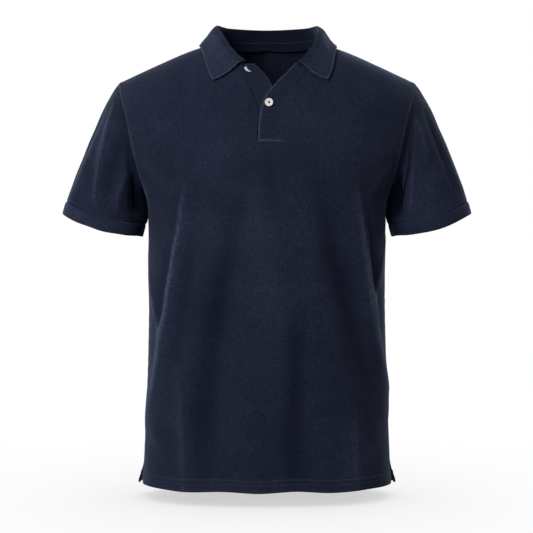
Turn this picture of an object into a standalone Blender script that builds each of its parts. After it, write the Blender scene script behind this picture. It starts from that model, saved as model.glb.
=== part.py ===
"""Navy short-sleeved polo shirt, filled out as if worn, built from the pieces a maker cuts and sews.

Metres, +Z up. The front faces -Y and the wearer's left is +X. The origin is in the middle of the
neck, at the height of the shoulder line beside the collar, where the wearer holds the shirt up.
Every piece is an open sheet of cloth with a Solidify modifier; neighbours meet at seams with a
small gap.
"""

import bpy
import bmesh
from math import asin, cos, exp, pi, radians, sin, sqrt
from mathutils import Matrix, Vector

# Cloth
WALL = 0.0015
SEAM_GAP = 0.0003
LAYER_LIFT = 0.0020          # outer face of the over placket above the front panel's face

# Heights on the body
HEM = -0.703
VENT_TOP = -0.664
UNDERARM = -0.240
SLOT_FOOT = -0.160
NECK_FRONT = -0.038
CHEST_TOP = -0.120           # the shoulders close over above this height

# Rows of the panels between those heights
ROWS_TO_UNDERARM = 9
ROWS_TO_SLOT_FOOT = 4
ROWS_TO_CHEST_TOP = 2
ROWS_OVER_SHOULDER = 6
BLOCK_COLUMNS = 10
SQUARENESS = 2.3             # exponent of the body's cross-section, 2 is an ellipse
SEAM_FLATNESS = 10           # how late the panel folds fade towards the side seams
OPEN_FOLD_RISE = 1.4         # how soon a fold that runs out at the hem reaches its full height
SETTLE_ROUNDS = 12           # passes that bring an edge's height and distance into step
PROBE_WIDTH = 0.0005         # half spacing of the points that give the form's direction, across
PROBE_LEVEL = 0.002          # the same up the form, in levels

# height, front half width, back half width, front depth, back depth
BODY_SECTIONS = (
    (-0.703, 0.2000, 0.2080, 0.127, 0.118),
    (-0.664, 0.1985, 0.1985, 0.128, 0.116),
    (-0.560, 0.1940, 0.1940, 0.129, 0.112),
    (-0.450, 0.1910, 0.1910, 0.131, 0.110),
    (-0.350, 0.1900, 0.1900, 0.133, 0.112),
    (-0.290, 0.1915, 0.1915, 0.134, 0.117),
    (-0.240, 0.1965, 0.1965, 0.133, 0.121),
    (-0.200, 0.2220, 0.2220, 0.130, 0.123),
    (-0.160, 0.2420, 0.2420, 0.125, 0.122),
    (-0.120, 0.2475, 0.2475, 0.119, 0.118),
)

# distance from the middle, height of the shoulder ridge
SHOULDER_RIDGE = (
    (0.000, 0.028),
    (0.050, 0.017),
    (0.085, 0.006),
    (0.128, -0.008),
    (0.183, -0.032),
    (0.241, -0.0585),
)
NECK_SIDE = 0.084

# height, distance of the armhole seam from the middle
ARMHOLE = (
    (-0.2400, 0.1965),
    (-0.2250, 0.2000),
    (-0.2000, 0.2065),
    (-0.1700, 0.2135),
    (-0.1400, 0.2200),
    (-0.1100, 0.2275),
    (-0.0850, 0.2345),
    (-0.0585, 0.2410),
)

# height, edge of the wearer's right front, edge of the wearer's left front (slot, then neckline)
FRONT_OPENING = (
    (-0.703, -0.0138, 0.0215),
    (-0.130, -0.0138, 0.0215),
    (-0.108, -0.0145, 0.0225),
    (-0.090, -0.0200, 0.0290),
    (-0.072, -0.0275, 0.0405),
    (-0.055, -0.0385, 0.0540),
    (-0.038, -0.0520, 0.0670),
    (-0.022, -0.0655, 0.0765),
    (-0.008, -0.0765, 0.0820),
    (0.006, -0.0840, 0.0840),
)

# height, free edge of the under placket, free edge of the over placket
PLACKET_FREE_EDGES = (
    (-0.165, 0.0200, -0.0138),
    (-0.131, 0.0200, -0.0125),
    (-0.108, 0.0170, -0.0090),
    (-0.090, 0.0125, -0.0025),
    (-0.073, 0.0080, 0.0105),
    (-0.055, -0.0030, 0.0280),
    (-0.038, -0.0195, 0.0436),
)
PLACKET_ROWS = 10
PLACKET_COLUMNS = 4
OVER_PLACKET_LAP = 0.003     # how far the over placket lies on the panel past the slot

BACK_NECK_HEIGHT = 0.0075
BACK_NECK_STEPS = 12         # neck seam points on each half of the back
SIDE_NECK_STEPS = 8          # neck seam points on each side of the front
PLACKET_NECK_STEPS = 3       # neck seam points on each placket strip
COLLAR_END_INSET = 0.005     # how far the collar stops short of the over placket's free edge

# top distance from the middle, top height, foot distance, foot height, half width, height of fold
FRONT_FOLDS = (
    (-0.133, -0.245, -0.186, -0.560, 0.016, 0.0050),
    (-0.186, -0.340, -0.178, -0.450, 0.010, 0.0030),
    (-0.034, -0.230, -0.110, -0.720, 0.034, -0.0060),
    (0.145, -0.250, 0.180, -0.530, 0.016, 0.0050),
    (0.083, -0.235, 0.168, -0.540, 0.030, -0.0055),
    (0.048, -0.450, 0.050, -0.720, 0.022, -0.0040),
    (-0.150, -0.600, -0.160, -0.720, 0.016, 0.0040),
    (0.130, -0.580, 0.138, -0.720, 0.018, 0.0040),
)
BACK_FOLDS = (
    (-0.120, -0.180, -0.150, -0.560, 0.022, 0.0055),
    (0.125, -0.200, 0.142, -0.600, 0.024, 0.0050),
    (0.010, -0.260, -0.015, -0.720, 0.040, -0.0070),
    (-0.070, -0.480, -0.085, -0.720, 0.018, 0.0035),
    (0.080, -0.430, 0.070, -0.720, 0.020, 0.0035),
)

# Sleeves, given for the wearer's left
CUFF_CENTRE = Vector((0.2660, -0.0040, -0.2870))
CUFF_LEAN = radians(15.9)
CUFF_HALF_WIDTH = 0.0658
CUFF_HALF_DEPTH = 0.0520
CUFF_BAND = 0.020
CUFF_STEP = 0.0009
CUFF_DROOP_FRONT = 0.009
CUFF_DROOP_BACK = 0.004
SLEEVE_ROWS = 12
SLEEVE_ROW_SPREAD = 1.6      # above 1, rows are closer together at the armhole
SLEEVE_FOLD_REACH = 1.1      # above 1, the folds end short of the band
SLEEVE_FOLD_ONSET = 1.5      # above 1, the folds start and end more softly
SLEEVE_LEAVE = 0.050         # how strongly the sleeve carries on from the body at the armhole
SLEEVE_ARRIVE = 0.85         # the same along the arm at the band, as a share of its length
UNDERARM_SPREAD = 0.5        # outward lean of the sleeve where it leaves the underarm

# angle round the sleeve in degrees (0 top, 90 front, 180 underarm), half width in degrees, height
SLEEVE_FOLDS = (
    (62.0, 13.0, 0.0050),
    (100.0, 15.0, -0.0050),
    (136.0, 12.0, 0.0035),
    (250.0, 15.0, -0.0045),
    (300.0, 16.0, 0.0045),
)

# Collar sections from the wearer's right end round the back to the left end: share of the
# neckline, fold x y z, outer edge x y z, sag of the fall's middle
COLLAR_SECTIONS = (
    (0.00, -0.0345, -0.0980, -0.0340, -0.0837, -0.1085, -0.0645, 0.0080),
    (0.07, -0.0500, -0.0850, -0.0190, -0.0910, -0.0985, -0.0520, 0.0040),
    (0.15, -0.0680, -0.0560, 0.0110, -0.0995, -0.0720, -0.0270, 0.0000),
    (0.26, -0.0810, -0.0040, 0.0355, -0.1085, -0.0120, 0.0010, 0.0000),
    (0.38, -0.0600, 0.0430, 0.0380, -0.0840, 0.0640, -0.0040, 0.0000),
    (0.50, 0.0000, 0.0660, 0.0385, 0.0000, 0.0850, -0.0080, 0.0000),
    (0.62, 0.0610, 0.0430, 0.0380, 0.0850, 0.0640, -0.0040, 0.0000),
    (0.74, 0.0825, -0.0040, 0.0345, 0.1110, -0.0120, 0.0010, 0.0000),
    (0.85, 0.0790, -0.0520, 0.0110, 0.1070, -0.0680, -0.0270, 0.0000),
    (0.93, 0.0650, -0.0790, -0.0180, 0.1020, -0.0920, -0.0490, 0.0030),
    (1.00, 0.0480, -0.0945, -0.0400, 0.0945, -0.1050, -0.0640, 0.0060),
)
COLLAR_STATIONS = 30
COLLAR_ROUND = 0.0030        # half thickness of the rolled fold
STAND_TURN = 0.16            # where the stand starts to roll, as a share down from the fold
STAND_INSET = 0.0012         # how far the rolled fold bulges in at the top of the stand
STAND_MIDDLE = 0.55          # place of the stand's middle row, as a share up from its foot
FALL_TURN = 0.12             # where the roll ends on the fall, as a share down from the fold
FALL_ROWS = 3
COLLAR_CLEARANCE = 0.0045    # outer face of the fall above the panels it rests on
FOLD_CLEARANCE = 0.0062      # the same where the fold comes down to the neck seam
COLLAR_SEAM_RISE = 0.0009    # foot of the stand above the neck edge of the panels

# Buttons
BUTTON_RADIUS = 0.00635
BUTTON_THICKNESS = 0.0024
BUTTON_RIM = 0.0012
BUTTON_DISH = 0.0006
BUTTON_BEVEL = 0.0012        # width of the slope round the button's back
BUTTON_EDGE = 0.0004         # rounding of its face edge
BUTTON_DISH_SLOPE = 0.0005   # width of the slope down into the dish
HOLE_RADIUS = 0.0009
HOLE_SPACING = 0.0015
BUTTON_SIDES = 32
HOLE_SIDES = 12
BUTTON_GAP = 0.0003
# distance from the middle, height
BUTTON_LOWER_PLACE = (0.0030, -0.1010)
BUTTON_TOP_PLACE = (-0.0285, -0.0480)

NAVY = (0.016, 0.021, 0.043, 1.0)
RIB_NAVY = (0.020, 0.026, 0.050, 1.0)
BUTTON_WHITE = (0.78, 0.77, 0.72, 1.0)


# ---------------------------------------------------------------- tables

def slope(rows, index, column):
    """Slope of one column of a table at one of its rows."""
    low = rows[max(index - 1, 0)]
    high = rows[min(index + 1, len(rows) - 1)]
    return (high[column] - low[column]) / (high[0] - low[0])


def read_table(rows, key):
    """The table's other columns at a value of its first column, read off smooth curves."""
    key = min(max(key, rows[0][0]), rows[-1][0])
    index = max(i for i in range(len(rows) - 1) if rows[i][0] <= key)
    below, above = rows[index], rows[index + 1]
    span = above[0] - below[0]
    f = (key - below[0]) / span
    values = []
    for column in range(1, len(rows[0])):
        start = below[column] * (1 + 2 * f) * (1 - f) ** 2
        end = above[column] * (3 - 2 * f) * f ** 2
        leave = slope(rows, index, column) * span * f * (1 - f) ** 2
        arrive = slope(rows, index + 1, column) * span * f ** 2 * (f - 1)
        values.append(start + end + leave + arrive)
    return values


def spaced(start, end, count):
    """count + 1 even steps from start to end."""
    return [start + (end - start) * i / count for i in range(count + 1)]


# ---------------------------------------------------------------- body form

def ridge_rise(x):
    """Height of the shoulder ridge above the chest top."""
    return read_table(SHOULDER_RIDGE, abs(x))[0] - CHEST_TOP


def section_sizes(side, height):
    """Half width and depth of the body's section; side is -1 for the front, 1 for the back."""
    front_width, back_width, front_depth, back_depth = read_table(BODY_SECTIONS, height)
    return (front_width, front_depth) if side < 0 else (back_width, back_depth)


def bare_point(side, x, level):
    """Point of the body form. Levels up to 1 are heights from hem to chest top, as a share;
    levels 1 to 2 turn from upright to the shoulder ridge."""
    height = HEM + min(level, 1.0) * (CHEST_TOP - HEM)
    half_width, depth = section_sizes(side, height)
    share = min(abs(x) / half_width, 1.0)
    y = side * depth * (1.0 - share ** SQUARENESS) ** (1.0 / SQUARENESS)
    if level <= 1.0:
        return Vector((x, y, height))
    turn = (level - 1.0) * pi / 2
    return Vector((x, y * cos(turn), CHEST_TOP + ridge_rise(x) * sin(turn)))


def level_at(x, height):
    """Level at which the form passes a height, at a distance from the middle."""
    if height <= CHEST_TOP:
        return (height - HEM) / (CHEST_TOP - HEM)
    rise = min((height - CHEST_TOP) / ridge_rise(x), 1.0)
    return 1.0 + asin(rise) / (pi / 2)


def form_normal(side, x, level):
    """Outward direction of the form, square to its section and its rise."""
    half_width = section_sizes(side, HEM + min(level, 1.0) * (CHEST_TOP - HEM))[0]
    reach = half_width - 2 * PROBE_WIDTH
    x = max(-reach, min(x, reach))
    along = bare_point(side, x + PROBE_WIDTH, level) - bare_point(side, x - PROBE_WIDTH, level)
    middle = min(level, 2.0 - PROBE_LEVEL)
    low = bare_point(side, x, middle - PROBE_LEVEL)
    high = bare_point(side, x, middle + PROBE_LEVEL)
    normal = along.cross(high - low).normalized()
    return -side * normal


def fold_height(folds, x, z):
    """Sum of the soft ridges and troughs at a place on a panel."""
    total = 0.0
    for top_x, top_z, foot_x, foot_z, half_width, height in folds:
        share = (top_z - z) / (top_z - foot_z)
        if not 0.0 < share < 1.0:
            continue
        off = (x - top_x - (foot_x - top_x) * share) / half_width
        fade = sin(pi * min(share * OPEN_FOLD_RISE, 1.0) / 2) if foot_z < HEM else sin(pi * share)
        total += height * fade * exp(-off * off)
    return total


def panel_point(side, x, level, lift=0.0):
    """Point on the front (-1) or back (1) panel's face, with its folds, moved out by lift."""
    point = bare_point(side, x, level)
    half_width = section_sizes(side, min(point.z, CHEST_TOP))[0]
    fade = 1.0 - min(abs(x) / half_width, 1.0) ** SEAM_FLATNESS
    folds = FRONT_FOLDS if side < 0 else BACK_FOLDS
    lift += fold_height(folds, x, point.z) * fade
    if lift:
        point += form_normal(side, x, level) * lift
    point.y += side * SEAM_GAP / 2
    return point


def panel_point_at_height(side, x, height, lift=0.0):
    """Point on a panel's face given by its height."""
    return panel_point(side, x, level_at(x, height), lift)


# ---------------------------------------------------------------- outlines of the panels

def settle(edge_at_height, level):
    """Distance from the middle at which an edge, given by height, crosses a level."""
    x = edge_at_height(HEM)
    for _ in range(SETTLE_ROUNDS):
        x = edge_at_height(bare_point(-1, x, level).z)
    return x


def outer_edge(side, level):
    """Distance of the side seam or the armhole seam from the middle."""
    height = HEM + min(level, 1.0) * (CHEST_TOP - HEM)
    if height <= UNDERARM:
        return section_sizes(side, height)[0]
    return settle(lambda z: read_table(ARMHOLE, z)[0], level)


def opening_edge(hand, level):
    """Edge of the front slot and neckline on the wearer's right (-1) or left (1)."""
    column = 0 if hand < 0 else 1
    return settle(lambda z: read_table(FRONT_OPENING, z)[column], level)


def body_levels():
    """Levels of the panel rows from the hem to the chest top."""
    heights = [HEM, VENT_TOP]
    heights += spaced(VENT_TOP, UNDERARM, ROWS_TO_UNDERARM)[1:]
    heights += spaced(UNDERARM, SLOT_FOOT, ROWS_TO_SLOT_FOOT)[1:]
    heights += spaced(SLOT_FOOT, CHEST_TOP, ROWS_TO_CHEST_TOP)[1:]
    return [level_at(0.0, z) for z in heights]


def shoulder_levels(start):
    """Levels from start to the shoulder ridge, closer together towards the ridge."""
    count = ROWS_OVER_SHOULDER
    return [start + (2.0 - start) * sin(i * pi / 2 / count) for i in range(1, count + 1)]


def front_levels():
    return body_levels() + shoulder_levels(1.0)


def back_neck_level():
    """Level of the back neckline's lowest point."""
    return level_at(0.0, BACK_NECK_HEIGHT)


def back_levels():
    """Rows of the back, with its last ones fanned round the neckline."""
    low = back_neck_level()
    count = ROWS_OVER_SHOULDER
    fan = [low + (2.0 - low) * (1.0 - cos(i * pi / 2 / count)) for i in range(1, count + 1)]
    return body_levels() + spaced(1.0, low, 3)[1:] + fan


def back_neck_edge(level):
    """Distance of the back neckline from the middle: a quarter ellipse up to the neck side."""
    low = back_neck_level()
    if level <= low:
        return 0.0
    share = (2.0 - level) / (2.0 - low)
    return NECK_SIDE * sqrt(max(1.0 - share ** 2, 0.0))


def block_columns(half_width, inner, outer):
    """Distances across a panel half, even in angle and closer together towards the seam."""
    power = SQUARENESS / 2
    start = asin(min(abs(inner) / half_width, 1.0) ** power)
    end = asin(min(abs(outer) / half_width, 1.0) ** power)
    turns = [start + (end - start) * sin(i * pi / 2 / BLOCK_COLUMNS) for i in range(BLOCK_COLUMNS + 1)]
    return [half_width * sin(turn) ** (1 / power) for turn in turns]


def half_row(side, hand, level, inner):
    """One row of a panel half, from its inner edge out to the seam."""
    outer = outer_edge(side, level)
    half_width = section_sizes(side, HEM + min(level, 1.0) * (CHEST_TOP - HEM))[0]
    xs = block_columns(half_width, inner, outer)
    xs[0], xs[-1] = abs(inner), outer
    return [panel_point(side, hand * x, level) for x in xs]


# ---------------------------------------------------------------- mesh building

def cloth_object(name, rows, material, collection, inside_out=False, loop=False, keep=None):
    """Sheet through rows of points, with a wall inwards. keep(row, column) says which cells exist;
    loop closes each row on itself."""
    mesh = bpy.data.meshes.new(name)
    sheet = bmesh.new()
    made = {}

    def vertex(row, column):
        key = (row, column % len(rows[row]))
        if key not in made:
            made[key] = sheet.verts.new(rows[row][key[1]])
        return made[key]

    cells = len(rows[0]) if loop else len(rows[0]) - 1
    for row in range(len(rows) - 1):
        for column in range(cells):
            if keep and not keep(row, column):
                continue
            corners = [
                vertex(row, column),
                vertex(row, column + 1),
                vertex(row + 1, column + 1),
                vertex(row + 1, column),
            ]
            sheet.faces.new(corners[::-1] if inside_out else corners)
    bmesh.ops.remove_doubles(sheet, verts=sheet.verts, dist=0.00001)
    bmesh.ops.triangulate(sheet, faces=sheet.faces)
    sheet.to_mesh(mesh)
    sheet.free()
    piece = bpy.data.objects.new(name, mesh)
    collection.objects.link(piece)
    mesh.materials.append(material)
    mesh.shade_smooth()
    wall = piece.modifiers.new("wall", "SOLIDIFY")
    wall.thickness = WALL
    wall.offset = -1.0
    return piece


def new_material(name, colour, roughness):
    material = bpy.data.materials.new(name)
    material.use_nodes = True
    shader = material.node_tree.nodes["Principled BSDF"]
    shader.inputs["Base Color"].default_value = colour
    shader.inputs["Roughness"].default_value = roughness
    shader.inputs["Metallic"].default_value = 0.0
    return material


def knit_material():
    return new_material("navy_knit", NAVY, 0.9)


def rib_material():
    return new_material("navy_rib", RIB_NAVY, 0.9)


def button_material():
    return new_material("white_button", BUTTON_WHITE, 0.25)


# ---------------------------------------------------------------- panels

def make_front(material, collection):
    """Front panel in one piece, open along the placket slot and round the neck."""
    rows = []
    levels = front_levels()
    for level in levels:
        right_edge = opening_edge(-1, level)
        left_edge = opening_edge(1, level)
        middle = (right_edge + left_edge) / 2
        right = half_row(-1, -1, level, right_edge)[::-1]
        left = half_row(-1, 1, level, left_edge)
        rows.append(right + [panel_point(-1, middle, level)] + left)
    foot_row = len(body_levels()) - 1 - ROWS_TO_CHEST_TOP
    slot = (BLOCK_COLUMNS, BLOCK_COLUMNS + 1)

    def keep(row, column):
        return row < foot_row or column not in slot

    return cloth_object("front", rows, material, collection, keep=keep)


def make_back(material, collection):
    """Back panel in one piece, hollowed round the neck."""
    rows = []
    levels = back_levels()
    for level in levels:
        inner = back_neck_edge(level)
        right = half_row(1, -1, level, inner)[::-1]
        rows.append(right + half_row(1, 1, level, inner))

    def keep(row, column):
        return column != BLOCK_COLUMNS

    return cloth_object("back", rows, material, collection, inside_out=True, keep=keep)


# ---------------------------------------------------------------- sleeves

def armhole_loop(hand):
    """Seam points and outward leaving directions, from the underarm up the front to the shoulder
    and down the back."""
    points = []
    normals = []
    lowest = level_at(0.0, UNDERARM) - PROBE_LEVEL
    for side, levels in ((-1, front_levels()), (1, back_levels()[::-1])):
        for level in levels:
            if level < lowest:
                continue
            x = hand * outer_edge(side, level)
            point = panel_point(side, x, level)
            point.y -= side * SEAM_GAP / 2
            points.append(point)
            normals.append(form_normal(side, x, level))
    join = len([level for level in front_levels() if level >= lowest])
    del points[join], normals[join]
    del points[-1], normals[-1]
    return points, normals


def leaving_directions(hand, points, normals):
    """Directions in which the sleeve carries the body's cloth on past the armhole seam."""
    directions = []
    for i, normal in enumerate(normals):
        along = points[(i + 1) % len(points)] - points[i - 1]
        flat = normal.copy()
        if i == 0:
            flat = Vector((hand, 0.0, 0.0))
        direction = along.cross(flat).normalized() * hand
        directions.append(direction)
    return directions


def cuff_point(hand, angle, along, grow=0.0):
    """Point of the sleeve's end ring: angle 0 is the outside, 90 degrees the front and 180 the
    side by the body; along runs down the arm from the band's seam."""
    across = Vector((hand * cos(CUFF_LEAN), 0.0, sin(CUFF_LEAN)))
    down = Vector((hand * sin(CUFF_LEAN), 0.0, -cos(CUFF_LEAN)))
    forward = Vector((0.0, -1.0, 0.0))
    centre = Vector((hand * CUFF_CENTRE.x, CUFF_CENTRE.y, CUFF_CENTRE.z))
    droop = CUFF_DROOP_FRONT if sin(angle) > 0.0 else CUFF_DROOP_BACK
    centre += down * (along - CUFF_BAND + droop * sin(angle) ** 2)
    centre += across * (CUFF_HALF_WIDTH + grow) * cos(angle)
    return centre + forward * (CUFF_HALF_DEPTH + grow) * sin(angle)


def ring_angles(points):
    """Angle round the cuff of each armhole point, by its distance along the seam."""
    count = len(points)
    lengths = [(points[(i + 1) % count] - points[i]).length for i in range(count)]
    top = max(range(count), key=lambda i: points[i].z)
    front_total = sum(lengths[:top])
    back_total = sum(lengths[top:])
    angles = []
    run = 0.0
    for i in range(count):
        if i <= top:
            angles.append(pi * (1.0 - run / front_total))
        else:
            angles.append(-pi * (run - front_total) / back_total)
        run += lengths[i]
    return angles


def sleeve_fold(angle, share):
    """Height of the sleeve's soft folds, strongest half way down."""
    total = 0.0
    for place, half_width, height in SLEEVE_FOLDS:
        off = (angle - radians(place) + pi) % (2 * pi) - pi
        total += height * exp(-(off / radians(half_width)) ** 2)
    return total * sin(pi * min(share * SLEEVE_FOLD_REACH, 1.0)) ** SLEEVE_FOLD_ONSET


def make_sleeve(name, hand, material, collection):
    """Sleeve lofted from the armhole seam to its band."""
    points, normals = armhole_loop(hand)
    leaving = leaving_directions(hand, points, normals)
    angles = ring_angles(points)
    axis = Vector((hand * sin(CUFF_LEAN), 0.0, -cos(CUFF_LEAN)))
    rows = [[] for _ in range(SLEEVE_ROWS + 1)]
    for point, direction, angle in zip(points, leaving, angles):
        start = point + direction * SEAM_GAP
        end = cuff_point(hand, angle, -SEAM_GAP)
        under = max(-cos(angle), 0.0) ** 4
        outward = Vector((hand, 0.0, 0.0))
        leave = (direction + outward * UNDERARM_SPREAD * under).normalized() * SLEEVE_LEAVE
        arrive = axis * SLEEVE_ARRIVE * (end - start).length
        radial = cuff_point(hand, angle, 0.0) - cuff_point(hand, angle + pi, 0.0)
        radial.normalize()
        for i in range(SLEEVE_ROWS + 1):
            v = (i / SLEEVE_ROWS) ** SLEEVE_ROW_SPREAD
            place = start * ((1 + 2 * v) * (1 - v) ** 2) + end * ((3 - 2 * v) * v ** 2)
            place += leave * (v * (1 - v) ** 2) + arrive * (v ** 2 * (v - 1))
            rows[i].append(place + radial * sleeve_fold(angle, v))
    return cloth_object(name, rows, material, collection, inside_out=hand > 0, loop=True)


def make_cuff(name, hand, material, collection):
    """Band sewn round the sleeve end, a touch fuller than the sleeve."""
    points = armhole_loop(hand)[0]
    angles = ring_angles(points)
    rows = [[cuff_point(hand, angle, along, CUFF_STEP) for angle in angles] for along in (0.0, CUFF_BAND)]
    return cloth_object(name, rows, material, collection, inside_out=hand > 0, loop=True)


# ---------------------------------------------------------------- plackets

def strip_rows(foot, edges, lift):
    """Rows of a placket strip between two edges, from its foot to the neckline."""
    rows = []
    for height in spaced(foot, NECK_FRONT, PLACKET_ROWS):
        low, high = edges(height)
        xs = spaced(low, high, PLACKET_COLUMNS)
        rows.append([panel_point_at_height(-1, x, height, lift) for x in xs])
    return rows


def make_under_placket(material, collection):
    """Strip on the wearer's right front, level with the panel and filling its slot."""

    def edges(height):
        seam = read_table(FRONT_OPENING, height)[0] + SEAM_GAP
        return seam, read_table(PLACKET_FREE_EDGES, height)[0]

    rows = strip_rows(SLOT_FOOT + SEAM_GAP, edges, 0.0)
    return cloth_object("placket_under", rows, material, collection)


def make_over_placket(material, collection):
    """Strip on the wearer's left front, lying over the slot and the under placket."""

    def edges(height):
        seam = read_table(FRONT_OPENING, height)[1] + OVER_PLACKET_LAP
        return read_table(PLACKET_FREE_EDGES, height)[1], seam

    rows = strip_rows(SLOT_FOOT - OVER_PLACKET_LAP, edges, LAYER_LIFT)
    return cloth_object("placket_over", rows, material, collection)


# ---------------------------------------------------------------- collar

def neckline():
    """Points of the neck seam on the cloth's outer face, from the middle of one placket strip round
    to the other."""
    under_free = PLACKET_FREE_EDGES[-1][1]
    over_free = PLACKET_FREE_EDGES[-1][2]
    right_seam, left_seam = read_table(FRONT_OPENING, NECK_FRONT)
    top = FRONT_OPENING[-1][0]
    points = []
    for x in spaced((under_free + right_seam) / 2, right_seam, PLACKET_NECK_STEPS):
        points.append(panel_point_at_height(-1, x, NECK_FRONT))
    for height in spaced(NECK_FRONT, top, SIDE_NECK_STEPS)[1:]:
        x = read_table(FRONT_OPENING, height)[0]
        points.append(panel_point_at_height(-1, x, height))
    low = back_neck_level()
    for turn in spaced(-pi / 2, pi / 2, 2 * BACK_NECK_STEPS)[1:-1]:
        level = 2.0 - (2.0 - low) * cos(turn)
        x = NECK_SIDE * sin(turn)
        points.append(panel_point(1, x, level))
    for height in spaced(top, NECK_FRONT, SIDE_NECK_STEPS)[:-1]:
        x = read_table(FRONT_OPENING, height)[1]
        points.append(panel_point_at_height(-1, x, height))
    for x in spaced(left_seam + OVER_PLACKET_LAP, over_free + COLLAR_END_INSET, PLACKET_NECK_STEPS):
        points.append(panel_point_at_height(-1, x, NECK_FRONT, LAYER_LIFT))
    return points


def point_along(points, share):
    """Point at a share of a polyline's length."""
    lengths = [(b - a).length for a, b in zip(points, points[1:])]
    left = share * sum(lengths)
    for start, end, length in zip(points, points[1:], lengths):
        if left <= length:
            return start.lerp(end, left / length)
        left -= length
    return points[-1].copy()


def clear_of_shoulders(point, clearance):
    """The point, moved out if it is nearer to the panels than the clearance."""
    side = -1 if point.y < 0.0 else 1
    rise = ridge_rise(point.x)
    depth = abs(bare_point(side, point.x, 1.0).y)
    off = Vector((0.0, point.y / depth, (point.z - CHEST_TOP) / rise))
    outward = Vector((0.0, point.y / depth ** 2, (point.z - CHEST_TOP) / rise ** 2)).normalized()
    radius = off.length
    surface = Vector((point.x, point.y / radius, CHEST_TOP + (point.z - CHEST_TOP) / radius))
    distance = (point - surface).dot(outward)
    if distance < clearance:
        return point + outward * (clearance - distance)
    return point


def collar_profile(neck, share):
    """Section of the collar: up the stand, over the fold and down the fall."""
    values = read_table(COLLAR_SECTIONS, share)
    fold = clear_of_shoulders(Vector(values[0:3]), FOLD_CLEARANCE)
    edge = Vector(values[3:6])
    sag = values[6]
    foot = neck + Vector((0.0, 0.0, COLLAR_SEAM_RISE))
    outward = edge - foot
    outward.z = 0.0
    outward.normalize()
    shoulder_in = fold.lerp(foot, STAND_TURN) - outward * STAND_INSET
    shoulder_out = clear_of_shoulders(fold.lerp(edge, FALL_TURN) + outward * COLLAR_ROUND, FOLD_CLEARANCE)
    profile = [foot, foot.lerp(shoulder_in, STAND_MIDDLE), shoulder_in, fold, shoulder_out]
    for f in spaced(0.0, 1.0, FALL_ROWS)[1:]:
        place = shoulder_out.lerp(edge, f)
        place.z -= sag * 4 * f * (1 - f)
        profile.append(clear_of_shoulders(place, COLLAR_CLEARANCE))
    return profile


def make_collar(material, collection):
    """Collar in one folded piece, its stand on the neck seam and its fall over the shoulders."""
    seam = neckline()
    shares = spaced(0.0, 1.0, COLLAR_STATIONS)
    rows = [collar_profile(point_along(seam, share), share) for share in shares]
    return cloth_object("collar", rows, material, collection, inside_out=True)


# ---------------------------------------------------------------- buttons

def button_profile():
    """Half section of a button, from its axis at the back to its dished face."""
    half = BUTTON_THICKNESS / 2
    return (
        (0.0, -half),
        (BUTTON_RADIUS - BUTTON_BEVEL, -half),
        (BUTTON_RADIUS, 0.0),
        (BUTTON_RADIUS, half - BUTTON_EDGE),
        (BUTTON_RADIUS - BUTTON_EDGE, half),
        (BUTTON_RADIUS - BUTTON_RIM, half),
        (BUTTON_RADIUS - BUTTON_RIM - BUTTON_DISH_SLOPE, half - BUTTON_DISH),
        (0.0, half - BUTTON_DISH),
    )


def make_button_mesh(material):
    """Turned button body."""
    mesh = bpy.data.meshes.new("button")
    body = bmesh.new()
    rings = []
    for radius, height in button_profile():
        if radius == 0.0:
            rings.append([body.verts.new((0.0, 0.0, height))])
            continue
        turns = [2 * pi * i / BUTTON_SIDES for i in range(BUTTON_SIDES)]
        rings.append([body.verts.new((radius * cos(t), radius * sin(t), height)) for t in turns])
    for low, high in zip(rings, rings[1:]):
        for i in range(BUTTON_SIDES):
            j = (i + 1) % BUTTON_SIDES
            corners = [low[i % len(low)], low[j % len(low)], high[j % len(high)], high[i % len(high)]]
            body.faces.new(list(dict.fromkeys(corners)))
    body.to_mesh(mesh)
    body.free()
    mesh.materials.append(material)
    return mesh


def make_hole_cutter(name, placement, collection):
    """Four pins that cut a button's thread holes."""
    mesh = bpy.data.meshes.new(name)
    pins = bmesh.new()
    for i in range(4):
        turn = pi / 4 + i * pi / 2
        place = Matrix.Translation((HOLE_SPACING * cos(turn), HOLE_SPACING * sin(turn), 0.0))
        bmesh.ops.create_cone(
            pins,
            cap_ends=True,
            segments=HOLE_SIDES,
            radius1=HOLE_RADIUS,
            radius2=HOLE_RADIUS,
            depth=4 * BUTTON_THICKNESS,
            matrix=place,
        )
    pins.to_mesh(mesh)
    pins.free()
    cutter = bpy.data.objects.new(name, mesh)
    cutter.matrix_world = placement
    cutter.hide_render = True
    cutter.display_type = "WIRE"
    collection.objects.link(cutter)
    return cutter


def make_button(name, place, lift, mesh, collection, cutters):
    """Button lying on a placket strip whose outer face is lifted from the panel."""
    x, height = place
    level = level_at(x, height)
    normal = form_normal(-1, x, level)
    centre = panel_point(-1, x, level, lift + BUTTON_GAP + BUTTON_THICKNESS / 2)
    turn = normal.to_track_quat("Z", "Y").to_matrix().to_4x4()
    placement = Matrix.Translation(centre) @ turn
    button = bpy.data.objects.new(name, mesh)
    button.matrix_world = placement
    collection.objects.link(button)
    holes = button.modifiers.new("thread_holes", "BOOLEAN")
    holes.operation = "DIFFERENCE"
    holes.solver = "EXACT"
    holes.object = make_hole_cutter(name + "_holes", placement, cutters)
    return button


def make_buttons(material, collection, cutters):
    mesh = make_button_mesh(material)
    make_button("button_lower", BUTTON_LOWER_PLACE, LAYER_LIFT, mesh, collection, cutters)
    make_button("button_top", BUTTON_TOP_PLACE, 0.0, mesh, collection, cutters)


# ---------------------------------------------------------------- assembly

def new_collection(name):
    collection = bpy.data.collections.new(name)
    bpy.context.scene.collection.children.link(collection)
    return collection


def clear_scene():
    for old in list(bpy.data.objects):
        bpy.data.objects.remove(old, do_unlink=True)


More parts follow.
